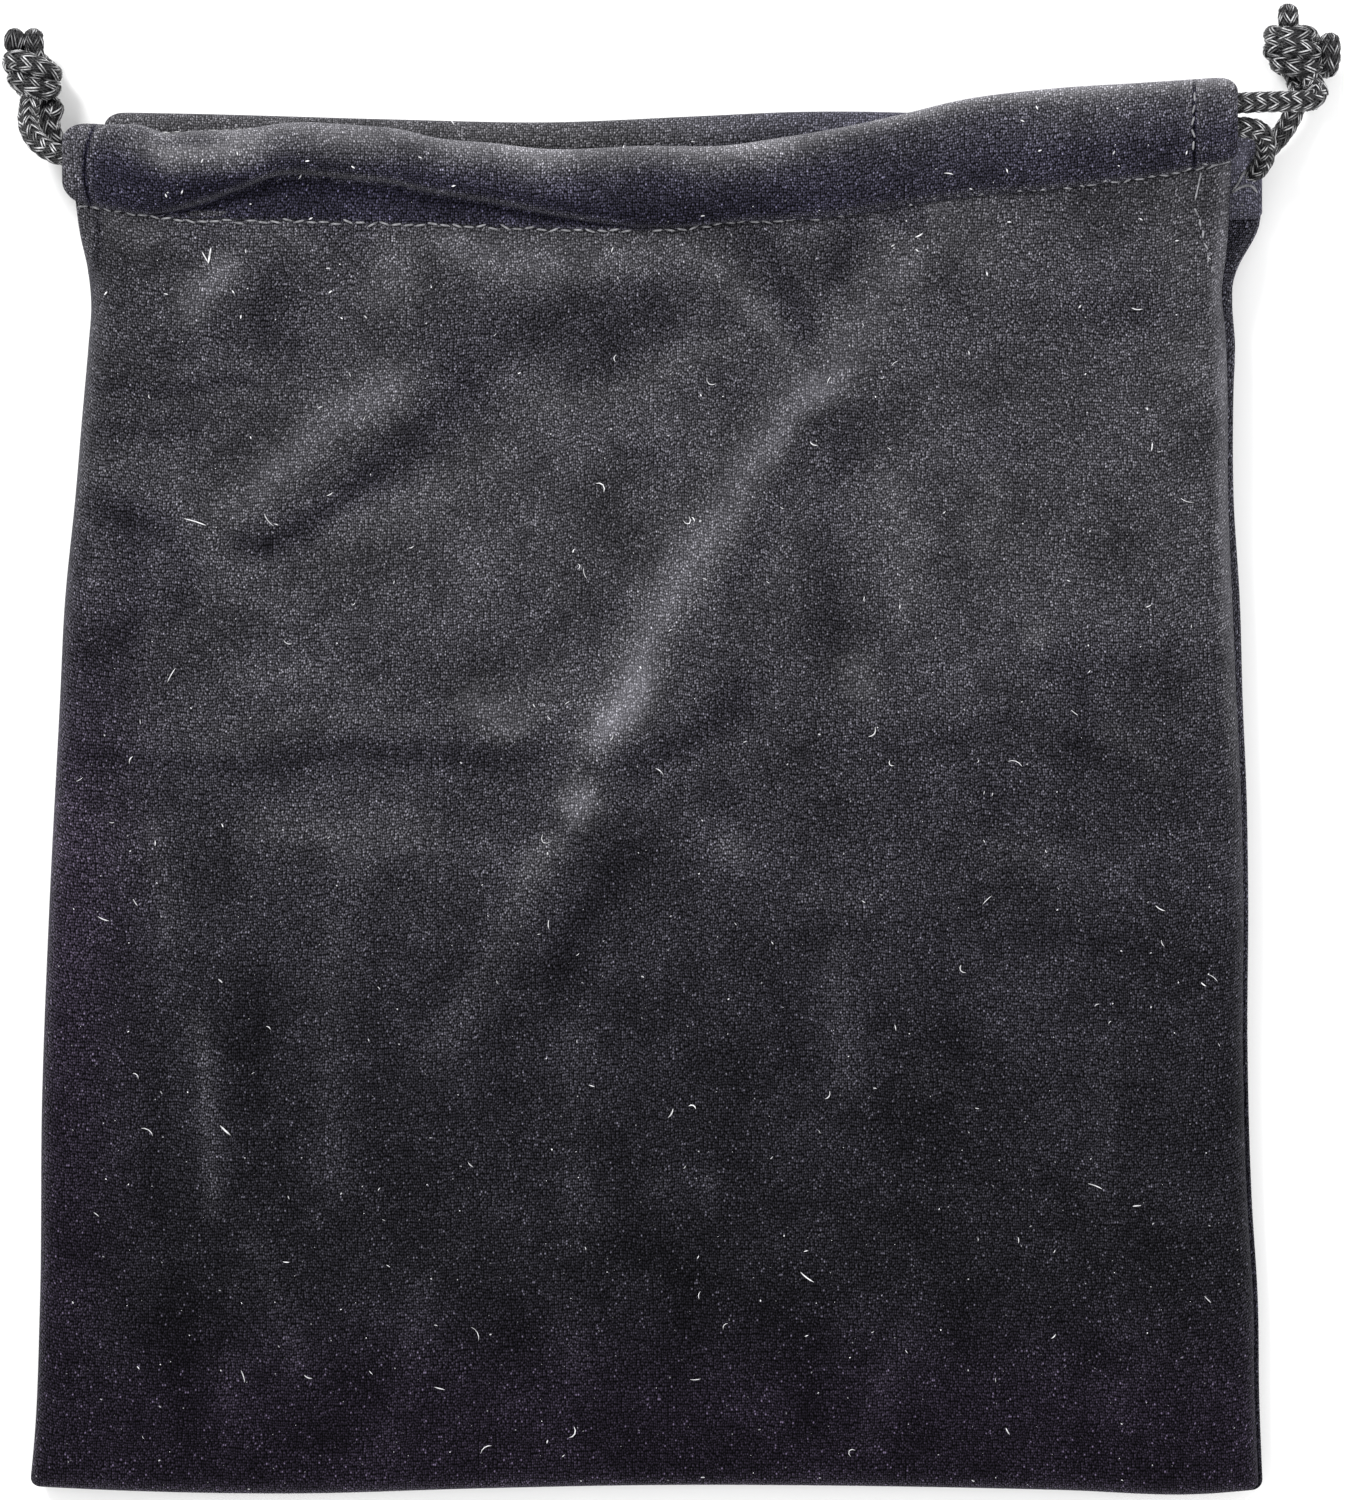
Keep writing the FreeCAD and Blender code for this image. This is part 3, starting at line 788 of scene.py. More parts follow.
# Brightness across the front casing, from its stitches (0) to its top edge (1), at its left and its right:
# painted light on its lit top and painted shade on its lower side.
casing_across_left = smooth_curve(
    [(0, 48), (0.15, 47), (0.3, 51), (0.45, 58), (0.6, 68), (0.72, 82), (0.85, 104), (0.95, 118),
     (1.0, 112)]
)
casing_across_right = smooth_curve(
    [(0, 57), (0.15, 57), (0.3, 58), (0.5, 61), (0.7, 66), (0.84, 76), (0.93, 100), (1.0, 118)]
)
casing_along = smooth_curve(
    [(-84, 0.85), (-76, 0.82), (-70, 1.05), (-64, 1.04), (-58, 1.1), (-52, 0.94), (-46, 1.06),
     (-40, 1.04), (-34, 0.92), (-28, 0.95), (-22, 0.95), (-16, 1.04), (-10, 0.95), (-4, 0.93), (2, 0.87),
     (8, 1.0), (14, 1.04), (20, 1.0), (26, 0.97), (40, 1.1), (50, 1.06), (62, 1.17), (74, 1.12),
     (80, 1.14), (86, 1.2)]
)


def front_tint(x, y):
    """The pile shines violet down the left edge and along the bottom."""
    beside = ease(1 - (x - front_left_x(y)) / 20) * ease((50 - y) / 70)
    share = np.maximum(beside, ease((-66 - y) / 24))[..., None]
    return mix(np.ones(3), np.array([1.15, 0.95, 1.2]), share)


pinch_x = -66  # where the front casing is pinched, near its left end


def front_casing_pile(x, y):
    """Painted light and shade: pale where the top is lit, violet in the shade of the roll, and darkest in
    the crease under it.
    """
    low, high = front_line(x), front_top(x)
    across = (y - low) / (high - low)
    spread = 0.14 * near(x, pinch_x, 9)
    level = mix(casing_across_left(across + spread), casing_across_right(across), ease((x - 18) / 20))
    level = mix(level, level * casing_along(x), ease((across - 0.3) / 0.3))
    # Painted shade where the casing is pinched.
    level -= near(x, pinch_x, 11) * (20 * ease((across - 0.74) / 0.12) + 18 * near(across, 0.4, 0.12))
    lift = roll_lift(x)
    foot = low + lift
    # Painted highlight on the roll's lower edge, and painted shade just above it.
    level += ease(lift / 1.5) * (26 * near(y, foot + 0.4, 0.45) - 8 * near(y, foot + 1.6, 1.0))
    # Painted shade in the crevice under the roll, with a faint pale line along it.
    share = np.clip((y - low) / np.maximum(foot - low, 0.5), 0, 1)
    below = mix(46, 40, ease((share - 0.4) / 0.2)) + 20 * near(share, 0.42, 0.06)
    level = np.where((y < foot) & (lift > 0.6), below, level)
    # A pale line along the stitches, and a painted highlight along the top edge.
    level += 22 * near(y, low + 0.2, 0.4) + 24 * near(y, high, 0.6)
    level = mix(level, 86, near(x, -84, 3.4))
    level += 12 * near(y, 94.0 + 0.17 * (x - 79.5), 0.4) * ease((x - 79.4) / 0.8)
    # Painted highlights beside each hem's groove, and painted shade in it.
    for end in (-1, 1):
        at = hem_at(1, end, 2 * across - 1)
        level += 9 * near(x, at + 0.7, 0.4) + 6 * near(x, at - 0.7, 0.4) - 46 * near(x, at, 0.24)
    return to_albedo(level)


# How blue the casings' pile is at each brightness: grey where it is lit and violet where it is not.
casing_blue = smooth_curve(
    [(20, 1.44), (30, 1.42), (40, 1.33), (50, 1.25), (60, 1.18), (70, 1.1), (85, 1.03), (110, 0.97)]
)
inner_tint = (0.99, 0.99, 1.09)


def front_casing_tint(pile):
    blue = casing_blue(np.clip(255 * (pile / lightest) ** (1 / gamma), 20, 110))
    return np.stack([1 + 0.06 * (blue - 1), np.ones(pile.shape), blue], axis=2)


def back_casing_tint(x):
    blue = 0.97 + 0.2 * ease((x + 10) / 50)
    return np.stack([np.ones(x.shape), np.ones(x.shape), blue], axis=2)


def back_casing_pile(x, y):
    # Painted light: lighter along the lit top and towards the right end, and a painted sheen near that end.
    sheen = 46 * near(x, 86.6, 1.5) * near(y, 93.4, 1.8)
    return to_albedo(62 + 34 * near(y, back_top(x), 4.5) + 34 * ease((x - 76) / 10) + sheen)


def back_pile(x, y):
    """The back layer is seen only past the front one's right edge: it is lifted 10 levels as painted light,
    and its hem has a pale patch.
    """
    pale_mark = 30 * near(x, 86.4, 1.6) * near(y, 83.0, 2.2)
    return to_albedo(pile_down(y) * 0.95 + 10 + pale_mark)


# --- Cloth grids
grid_step = 1.1
curl_turn = 55  # degrees the cloth turns back under at its edge
edge_turn = np.radians(np.linspace(-curl_turn, 90, 13))  # round the edge, from the seam up to the face
tuck = 1.2  # how far a panel goes on under its casing
corner_radius = 1.5


def panel_points(side, inset, relief=None):
    """The (column, row) grid of one face of a panel, in mm. Inset is 0 for the outer face."""
    left_x, right_x = side_edges[side]
    line = stitch_lines[side]
    rolled = np.where(edge_turn < 0, edge_curl, edge_roll - inset) * (1 - np.cos(edge_turn)) + inset
    risen = np.where(edge_turn < 0, edge_curl * np.sin(edge_turn), 0)
    rise = np.clip(np.sin(edge_turn), 0, 1)
    turned = ((rolled, rolled[-1]), (risen, 0.0), (rise, 1.0))

    across = int(round(mouth_x / grid_step))
    up = int(round((stitch_y - bottom_y) / grid_step))
    still = np.zeros(len(edge_turn))
    half = np.linspace(0, 1, across + 1)[1:]
    share_x = np.concatenate([still, half, half[:-1], still + 1])[:, None]
    share_y = np.concatenate([still, np.linspace(0, 1, up + 1)[1:]])[None, :]
    left_part = (np.arange(len(share_x)) < len(still) + across)[:, None]
    in_x, down_x, rise_x = (
        np.concatenate([edge, np.full(2 * across - 1, flat), edge[::-1]])[:, None] for edge, flat in turned
    )
    in_y, down_y, rise_y = (np.concatenate([edge, np.full(up, flat)])[None, :] for edge, flat in turned)

    y = mix(bottom_y + in_y, stitch_y, share_y)
    for _ in range(2):
        low_x, high_x = left_x(y) + in_x, right_x(y) - in_x
        x = np.where(left_part, mix(low_x, 0, share_x), mix(0, high_x, share_x))
        y = mix(bottom_line(x) + in_y, line(x) + tuck, share_y)
    x, y = round_corner(x, y, left_x, right_x, inset)

    level = edge_level(y, side)
    body = np.clip(rise_x * rise_y, 0, 1)
    curl = down_x + down_y
    base = edge_curl * math.sin(math.radians(curl_turn)) + 0.04
    face = face_level(x, y, side) - side * inset
    z = level + side * (base + curl) + (face - level - side * base) * body
    z = np.where(body > 0, z, level + side * np.maximum(base + curl, 0.03))
    if relief is not None:
        z = z + relief(x, y) * body**2
    z = z - side * (0.5 * near(y, line(x) - 0.2, 1.0) + 0.8 * ease((y - line(x)) / tuck))
    if side < 0:
        z = np.maximum(z, 0.02 + inset)
    return np.stack([x, y, z], axis=2)


def round_corner(x, y, left_x, right_x, inset):
    """Rounds the two bottom corners of a panel's outline."""
    low = bottom_line(x) + inset
    b = np.clip(1 - (y - low) / corner_radius, 0, 1)
    for inward, edge in ((1, left_x(y) + inset), (-1, right_x(y) - inset)):
        a = np.clip(1 - inward * (x - edge) / corner_radius, 0, 1)
        x = x + inward * corner_radius * a * (1 - np.sqrt(1 - b**2 / 2))
        y = y + corner_radius * b * (1 - np.sqrt(1 - a**2 / 2))
    return x, y


# Parts of the cloth round a casing: below its roll, over it, and down inside the bag.
LIP, ROLL, INSIDE = range(3)


def casing_rounds():
    """Round a casing from its stitches: which part of the cloth, its turn, and its share of the lip."""
    lip = np.linspace(0, 1, 7)[:-1]
    over = np.linspace(-90, 90, 25)
    under = np.linspace(90, -90, 15)[1:-1]
    part = np.repeat([LIP, ROLL, INSIDE], [len(lip), len(over), len(under)])
    turn = np.radians(np.concatenate([np.full(len(lip), -90.0), over, under]))
    lip_share = np.concatenate([lip, np.ones(len(over) + len(under))])
    return part[None, :], turn[None, :], lip_share[None, :]


rim_reach = 1.6  # how far in from a casing's ends its cloth is rounded
lip_rise = 0.15  # of the cloth beside the stitches, over the casing's middle
crevice_depth = 0.7  # of the groove under the bulge
casing_dents = [(0.55, -5, 2.4), (0.5, pinch_x, 2.6), (0.35, 3, 1.6), (0.3, -77, 2)]  # depth, x, width
casing_ends = {1: (-84.2, 85.5), -1: (-78.1, 89.0)}
hem_line = {(1, -1): -81.0, (1, 1): 79.2, (-1, -1): -74.4, (-1, 1): 80.6}
hem_bow = {(1, -1): 1.3, (1, 1): 0.0, (-1, -1): 0.0, (-1, 1): 0.0}
# How far the top and bottom corners of each end are cut back: front left and right, then back.
corner_bows = {(1, -1): (2.4, 3.2), (1, 1): (1.7, 0.7), (-1, -1): (1.6, 1.0), (-1, 1): (2.6, 0.4)}


def hem_at(side, end, height):
    """Where the hem's stitches cross a casing, from its foot (-1) to its top (1)."""
    return hem_line[side, end] + hem_bow[side, end] * (height + 0.1) ** 2


def casing_points(side, inset):
    """The (column, round) grid of one face of a casing: up its outer side, over the fold and down inside."""
    line = stitch_lines[side]
    top, level = (front_top, front_level) if side > 0 else (back_top, back_level)
    low_end, high_end = casing_ends[side]
    across = int(round(mouth_x / grid_step))
    share = np.linspace(-1, 1, 2 * across + 1)
    end_rows = 1 - (1 - np.linspace(0, 1, 7)[1:-1] ** 0.6) * 0.02
    beside_hem = np.linspace(-0.8, 1.6, 13)
    hem_rows = [(hem_line[side, -1] + beside_hem) / -low_end, (hem_line[side, 1] + beside_hem) / high_end]
    share = np.sort(np.concatenate([share, -end_rows, end_rows, *hem_rows]))[:, None]
    part, turn, lip_share = casing_rounds()

    height = np.sin(turn)
    from_edge = 6.0 * (1 - np.abs(height))  # below the top or above the foot, for a casing 12 mm high
    bows = [np.where(height > 0, *corner_bows[side, end]) for end in (-1, 1)]
    left_bow, right_bow = (bow * (1 - np.sqrt(1 - np.clip(1 - from_edge / bow, 0, 1) ** 2)) for bow in bows)
    x_end = np.where(share < 0, low_end + left_bow, high_end - right_bow)
    x = np.abs(share) * x_end
    low, high = line(x) + inset, top(x) - inset
    lift = (roll_lift(x) if side > 0 else 0) * (part != INSIDE)
    foot = low + lift
    middle, reach = (foot + high) / 2, (high - foot) / 2
    y = middle + reach * height
    y = np.where(part == LIP, mix(low, foot, lip_share), y)

    edge = np.where(x < 0, x - x_end, x_end - x)
    rim = cloth * (1 - np.sqrt(np.clip(1 - (1 - np.clip(edge / rim_reach, 0, 1)) ** 2, 0, 1)))
    hem = 0.5 * (near(x, hem_at(side, -1, height), 0.45) + near(x, hem_at(side, 1, height), 0.45))
    ripple = casing_ripple(x, height) if side > 0 else 0
    push = (ripple - hem) * (part == ROLL) * (inset == 0)
    depth = half_depth - inset + push + (-rim / 2 if inset == 0 else rim / 2)
    out = np.abs(np.cos(turn)) ** 0.8 * depth
    z = level + side * np.where(part == INSIDE, -out - inner_hollow(x, height, side), out)
    crevice = crevice_depth * ease(lift / 3) * np.sin(np.pi * lip_share * 0.75)
    z = np.where(part == LIP, level + side * (lip_rise - inset - crevice), z)
    y = y - height * (rim / 2 if inset == 0 else -rim / 2)
    return np.stack([x + np.zeros(y.shape), y, z], axis=2)


def inner_hollow(x, height, side):
    """How much lower the front casing's inner wall hangs where the left cord runs low under the bulge."""
    if side < 0:
        return 0
    return 1.3 * near(x, -39, 24) * near(height, -0.5, 0.6) + 2.7 * near(x, 5, 24) * near(height, -0.1, 0.5)


def casing_ripple(x, height):
    """Small gathers and a few deeper dents in the front casing."""
    waves = 0.3 * np.sin(x / 2.9 + 0.6) * near(x, -50, 30) + 0.18 * np.sin(x / 4.1)
    waves = waves + 0.1 * np.sin(x / 1.7 + 1)
    dents = sum(depth * near(x, at, width) for depth, at, width in casing_dents)
    return waves - dents * ease(height + 0.6)


def grid_normals(points, wrap):
    """A direction out of the cloth at each point of a grid."""
    around = np.gradient(points, axis=1)
    if wrap:
        around = (np.roll(points, -1, axis=1) - np.roll(points, 1, axis=1)) / 2
    return unit(np.cross(np.gradient(points, axis=0), around), 1e-12)


def laid_flat(points):
    """Where each point of a grid lies in its flat cloth, in mm: across from the middle, and up."""
    steps_u = np.linalg.norm(np.diff(points, axis=0), axis=2)
    steps_v = np.linalg.norm(np.diff(points, axis=1), axis=2)
    u = np.concatenate([np.zeros((1, points.shape[1])), np.cumsum(steps_u, axis=0)])
    v = np.concatenate([np.zeros((points.shape[0], 1)), np.cumsum(steps_v, axis=1)], axis=1)
    u = u - u[points.shape[0] // 2]
    return np.stack([u, v, np.zeros(u.shape)], axis=2)


def paint(mesh, name, values):
    """Gives every vertex a number, or a vector, for the material to read."""
    kind, key = ("FLOAT", "value") if values.ndim == 1 else ("FLOAT_VECTOR", "vector")
    data = mesh.attributes.new(name, kind, "POINT").data
    data.foreach_set(key, values.astype(np.float32).ravel())


def cloth_shell(name, outer, inner, pile, tint, material, columns=slice(None), wrap=False, flip=False):
    """A closed piece of cloth from the same columns of its outer and inner grids."""
    tint = np.broadcast_to(tint, outer.shape)[columns]
    flat = laid_flat(outer)[columns]
    out_normal, in_normal = grid_normals(outer, wrap), -grid_normals(inner, wrap)
    if flip:
        out_normal, in_normal = -out_normal, -in_normal
    outer, inner, pile = outer[columns], inner[columns], pile[columns]
    out_normal, in_normal = out_normal[columns], in_normal[columns]
    nu, nv = outer.shape[:2]
    index = np.arange(nu * nv).reshape(nu, nv)
    if wrap:
        index = np.concatenate([index, index[:, :1]], axis=1)
    quads = grid_quads(index)
    borders = [index[0, ::-1], index[-1, :]]
    if not wrap:
        borders += [index[:, 0], index[::-1, -1]]
    edges = np.concatenate([np.stack([border[1:], border[:-1]], axis=1) for border in borders])
    rims = np.concatenate([edges, edges[:, ::-1] + nu * nv], axis=1)
    faces = np.concatenate([quads, quads[:, ::-1] + nu * nv, rims])
    if flip:
        faces = faces[:, ::-1]
    points = as_photographed(np.concatenate([outer.reshape(-1, 3), inner.reshape(-1, 3)]))
    normals = np.concatenate([out_normal.reshape(-1, 3), in_normal.reshape(-1, 3)])

    piece = new_object(name, points, faces.tolist(), material)
    mesh = piece.data
    loop_normals = normals[faces.reshape(-1)]
    first, second, third = (points[faces[-len(rims) :, k]] for k in range(3))
    facing = unit(np.cross(second - first, third - first), 1e-9)
    loop_normals[-4 * len(rims) :] = np.repeat(facing, 4, axis=0)
    mesh.normals_split_custom_set(loop_normals.tolist())

    flat = flat.reshape(-1, 3)
    flat = np.concatenate([flat, flat + (cloth, cloth, 0)])  # so the grain goes on across the cut edges
    paint(mesh, "lay", flat * MM)
    paint(mesh, "pile", np.tile(pile.reshape(-1), 2))
    paint(mesh, "tint", np.tile(tint.reshape(-1, 3), (2, 1)))
    return piece


def gather(piece):
    """Bakes a piece's placement into its mesh and reads its vertices, which nothing then uses."""
    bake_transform(piece)
    co = np.zeros(len(piece.data.vertices) * 3, np.float32)
    piece.data.vertices.foreach_get("co", co)


# --- Settling of the front cloth
settle_step = 3.2
settle_scale = 10  # the cloth solver behaves better on a larger sheet
settle_frames = 28
settle_limit = 1.4
settle_side, settle_low = 80, -94  # how far the sheet reaches to each side and to the top, and down
bed_drop = 1.3  # from the sheet down to what it settles on
unevenness = 0.12


def sheet_object(name, x, y, z):
    points = np.stack([x, y, z], axis=2).reshape(-1, 3) * settle_scale
    mesh = bpy.data.meshes.new(name)
    mesh.from_pydata((points * MM).tolist(), [], grid_quads(np.arange(x.size).reshape(x.shape)).tolist())
    return in_scene(name, mesh)


def settle(level):
    """Lets a slightly roomy sheet sink on to the layer below it, and gives how far each place moved."""
    xs = np.arange(-settle_side, settle_side + 0.1, settle_step)
    ys = np.arange(settle_low, settle_side + 0.1, settle_step)
    x, y = np.meshgrid(xs, ys, indexing="ij")
    start = level(x, y)
    chance = np.random.default_rng(SEED)
    sheet = sheet_object("settling", x, y, start + chance.normal(0, unevenness, x.shape))
    below = sheet_object("settling_bed", x, y, start - bed_drop)
    edge = np.zeros(x.shape, bool)
    edge[[0, -1], :] = True
    edge[:, [0, -1]] = True
    held = sheet.vertex_groups.new(name="held")
    held.add(np.flatnonzero(edge.reshape(-1)).tolist(), 1.0, "REPLACE")
    cloth_sim = sheet.modifiers.new("cloth", "CLOTH")
    how = cloth_sim.settings
    how.quality, how.mass = 6, 0.15
    how.tension_stiffness = how.compression_stiffness = 25
    how.shear_stiffness = 12
    how.bending_stiffness = 0.35
    how.vertex_group_mass = "held"
    how.shrink_min = how.shrink_max = -0.012
    cloth_sim.collision_settings.distance_min = 0.002
    cloth_sim.collision_settings.use_self_collision = False
    cloth_sim.point_cache.frame_start, cloth_sim.point_cache.frame_end = 1, settle_frames
    below.modifiers.new("bed", "COLLISION")
    scene = bpy.context.scene
    for frame_number in range(1, settle_frames + 1):
        scene.frame_set(frame_number)
    ready = sheet.evaluated_get(bpy.context.evaluated_depsgraph_get())
    moved = np.array([v.co[2] for v in ready.data.vertices]) / MM / settle_scale
    for done in (sheet, below):
        bpy.data.objects.remove(done)
    scene.frame_set(1)
    sunk = np.clip(moved.reshape(x.shape) - start, -settle_limit, settle_limit)
    sunk = np.where(np.isfinite(sunk), sunk, 0)

    def sink(px, py):
        i = np.clip((px - xs[0]) / settle_step, 0, len(xs) - 1.001)
        j = np.clip((py - ys[0]) / settle_step, 0, len(ys) - 1.001)
        a, b = i.astype(int), j.astype(int)
        u, v = ease(i - a), ease(j - b)
        low = mix(sunk[a, b], sunk[a + 1, b], u)
        high = mix(sunk[a, b + 1], sunk[a + 1, b + 1], u)
        inside = ease((settle_side - np.abs(px)) / 4) * ease((settle_side - py) / 4)
        return mix(low, high, v) * inside * ease((py - settle_low) / 4)

    return sink


# --- Pieces of cloth
def make_halves(node, side, outer, inner, pile, tint, material, wrap=False):
    """The left and right half of a panel or casing."""
    middle = outer.shape[0] // 2
    made = []
    for end, columns in ((-1, slice(0, middle + 1)), (1, slice(middle, None))):
        name = f"{node}_{end_names[end]}"
        piece = cloth_shell(name, outer, inner, pile, tint, material, columns, wrap, side < 0)
        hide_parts(node)
        gather(piece)
        made.append(piece)
    return made


def make_panel(layer, side, relief, material):
    """Both halves of a panel, and the grids of its two faces."""
    outer, inner = panel_points(side, 0, relief), panel_points(side, cloth, relief)
    x, y = outer[:, :, 0], outer[:, :, 1]
    pile, tint = (front_pile(x, y), front_tint(x, y)) if side > 0 else (back_pile(x, y), inner_tint)
    return make_halves(f"{layer}_panel", side, outer, inner, pile, tint, material), outer, inner


def make_casing(layer, side, material):
    """Both halves of a casing, and the grid of its outer face."""
    outer, inner = casing_points(side, 0), casing_points(side, cloth)
    x, y = outer[:, :, 0], outer[:, :, 1]
    pile = front_casing_pile(x, y) if side > 0 else back_casing_pile(x, y)
    tint = front_casing_tint(pile) if side > 0 else back_casing_tint(x)
    return make_halves(f"{layer}_casing", side, outer, inner, pile, tint, material, True), outer


def strip(name, x, y, top, bottom, level, material):
    """A flat strip of cloth over a grid of places, between two heights."""
    outer, inner = np.stack([x, y, top], axis=2), np.stack([x, y, bottom], axis=2)
    pile = to_albedo(level + np.zeros(x.shape))
    return cloth_shell(name, outer, inner, pile, inner_tint, material)


hem_width = 7.6
hem_inset = 0.35
hem_steps = 10  # places across a hem
allowance_inset, allowance_width = 1.5, 6.4
allowance_steps = 9


def make_hem(layer, side, end, material):
    """The cloth turned in along the slit, from where the seam stops to the casing."""
    share = np.linspace(0, 1, hem_steps)
    inset = (hem_inset + hem_width * (share if end < 0 else share[::-1]))[:, None]
    up = np.linspace(0, 1, 22)[None, :]
    y = mix(slit_y - 3, stitch_lines[side](end * 84.0) + tuck, up) + np.zeros((hem_steps, 1))
    x = side_edges[side][end > 0](y) - end * inset
    level = edge_level(y, side)
    edge = near(inset, hem_inset, 0.9)
    if side > 0:
        top, bottom = level + 0.05 - 0.2 * edge, level - 0.95 + 0.4 * edge
    else:
        top, bottom = level + 0.95 - 0.35 * edge, level - 0.05 + 0.2 * edge
    # Painted highlight along the hem's folded edge.
    piece = strip(f"{layer}_{end_names[end]}_hem", x, y, top, bottom, 62 + 26 * edge, material)
    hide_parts(f"{layer}_panel")
    gather(piece)
    return piece


def seam_strip(name, x, y, inset, material):
    """Both layers' turned-in cloth beside a seam, lying flat between the panels."""
    half = 0.3 + 0.75 * ease((inset - allowance_inset) / 2.5)
    level = edge_level(y, 1)
    return strip(f"{name}_seam_allowance", x, y, level + half, level - half, 44, material)


def make_side_allowance(end, material):
    share = np.linspace(0, 1, allowance_steps)
    inset = allowance_inset + (allowance_width - allowance_inset) * (share if end < 0 else share[::-1])
    y = mix(bottom_y + 4.0, slit_y, np.linspace(0, 1, 130))[None, :] + np.zeros((allowance_steps, 1))
    x = side_edges[1][end > 0](y) - end * inset[:, None]
    piece = seam_strip(end_names[end], x, y, inset[:, None], material)
    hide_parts(f"{end_names[end]}_side_seam")
    gather(piece)


def make_bottom_allowance(material):
    share = np.linspace(0, 1, allowance_steps)[None, :]
    inset = allowance_inset + (allowance_width - allowance_inset) * share
    x = np.linspace(-85.0, 85.0, 120)[:, None] + np.zeros(share.shape)
    piece = seam_strip("bottom", x, bottom_line(x) + inset, inset, material)
    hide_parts("bottom_seam")
    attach(piece, "bag")


# --- Stitches and lint
stitch_length, stitch_gap = 1.5, 0.25
stitch_step = 0.25  # between the places where a stitch may start
stitch_arch = np.array([-0.22, 0.07, 0.13, 0.07, -0.22])  # its height over the cloth, end to end
stitch_shift, stitch_slant = 0.16, 0.2  # how far off its row a stitch lies, and its ends from its middle
thread_radius = 0.15
loose_lift = 0.15


def height_over(surface, x, y):
    """Height of a cloud of surface points at one place, from the nearest of them."""
    gap = np.hypot(surface[:, 0] - x, surface[:, 1] - y)
    close = np.argpartition(gap, 4)[:4]
    weight = 1 / (gap[close] + 0.05)
    return float((surface[close, 2] * weight).sum() / weight.sum())


def over(surface, place, lift):
    return np.array([place[0], place[1], height_over(surface, *place) + lift])


thread_sides = 6


def thread_along(points, radius):
    """A round thread through a few points, narrowed at its ends."""
    line = np.array(points, float)
    run = run_along(line)
    at = np.linspace(0, run[-1], max(5, int(run[-1] / 0.45)))
    line = points_at(at, run, line)
    ahead, out, _ = carried_frames(line)
    taper = np.sqrt(np.clip(np.minimum(at, run[-1] - at) / 0.35, 0.08, 1))
    skin = tube_skin(line, ahead, out, radius * taper, thread_sides)
    return (*skin, np.zeros(len(line) * thread_sides))


def stitch_row(points, surface, sunk=0.0):
    """Separate stitches along a drawn line, each dipping into the cloth at both ends."""
    row = evenly(np.array([(x, y, 0.0) for x, y in points]), stitch_step)
    chance = np.random.default_rng(SEED)
    pace = int(round((stitch_length + stitch_gap) / stitch_step))
    count = int(round(stitch_length / stitch_step))
    parts = []
    for start in range(0, len(row) - count, pace):
        a, b = row[start], row[start + count]
        across = np.array([-(b - a)[1], (b - a)[0]]) / stitch_length
        shift = across * chance.normal(0, stitch_shift)
        slant = across * chance.normal(0, stitch_slant)
        places = [mix(a[:2], b[:2], t) + shift + slant * (t - 0.5) * 2 for t in (0, 0.25, 0.5, 0.75, 1)]
        arch = [over(surface, place, lift) for place, lift in zip(places, stitch_arch - sunk)]
        parts.append(thread_along(arch, thread_radius))
    return parts


def loose_thread(points, surface, radius, lift=loose_lift):
    """One thread or hair lying over the cloth through drawn points."""
    return thread_along([over(surface, place, lift) for place in smooth_path(points)], radius)


def smooth_path(points):
    """A rounded line through drawn points."""
    points = np.array(points, float)
    at = np.linspace(0, len(points) - 1, 6 * (len(points) - 1) + 1)
    line = points_at(at, range(len(points)), points)
    for _ in range(3):
        line[1:-1] = (line[:-2] + 2 * line[1:-1] + line[2:]) / 4
    return line


def thread_piece(name, parts, node, end, material):
    """One piece from many threads. Its end is the half of the mouth it belongs to, or 0 if it stays with the
    bag.
    """
    points, faces = joined(parts)
    piece = new_object(name, as_photographed(points), faces, material)
    if node:
        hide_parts(node)
    if end:
        gather(piece)
    else:
        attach(piece, "bag")


def row_along(line, from_x, to_x):
    """A row of stitches just under a casing."""
    return [(x, float(line(x)) - 0.1) for x in np.linspace(from_x, to_x, 60)]


# The brightest specks of lint near the mouth, where they lie in the photograph.
lint_specks = [
    (52.5, 83.8), (39.2, 79.7), (49.3, 76.3), (62.7, 71.6), (76.7, 81.1), (71.5, 84.2), (52.2, 91.2),
    (67.6, 93.8), (56.9, 94.1), (54.4, 98.4), (56.5, 100.3), (78.1, 93.8), (35.7, 80.4), (-69.2, 73.4),
    (-59.5, 73.7), (-58.4, 70.1), (-45.5, 73.7), (-45.8, 77.1), (-40.4, 70.1), (-57.7, 79.6),
    (-77.9, 73.5), (-48.8, 92.6), (-42.2, 91.7), (-58.9, 93.7), (-64.0, 92.6), (-27.7, 89.0),
    (-32.5, 93.1), (-69.2, 87.6), (-66.9, 88.1), (-48.3, 84.3),
]
# The longest hairs, all on the left half: points, radius, height over the cloth.
long_hairs = [
    ([(-64.0, 79.5), (-63.5, 78.6), (-63.1, 77.9)], 0.09, 0.25),
    ([(-63.1, 77.8), (-62.9, 79.0), (-62.7, 80.1)], 0.15, 0.3),
    ([(-66.6, 41.0), (-65.0, 40.6), (-63.4, 40.0)], 0.09, 0.2),
    ([(-61.4, -46.6), (-60.6, -47.4), (-59.9, -48.0)], 0.14, 0.25),
]
hair_count = 150
speck_reach = 0.3


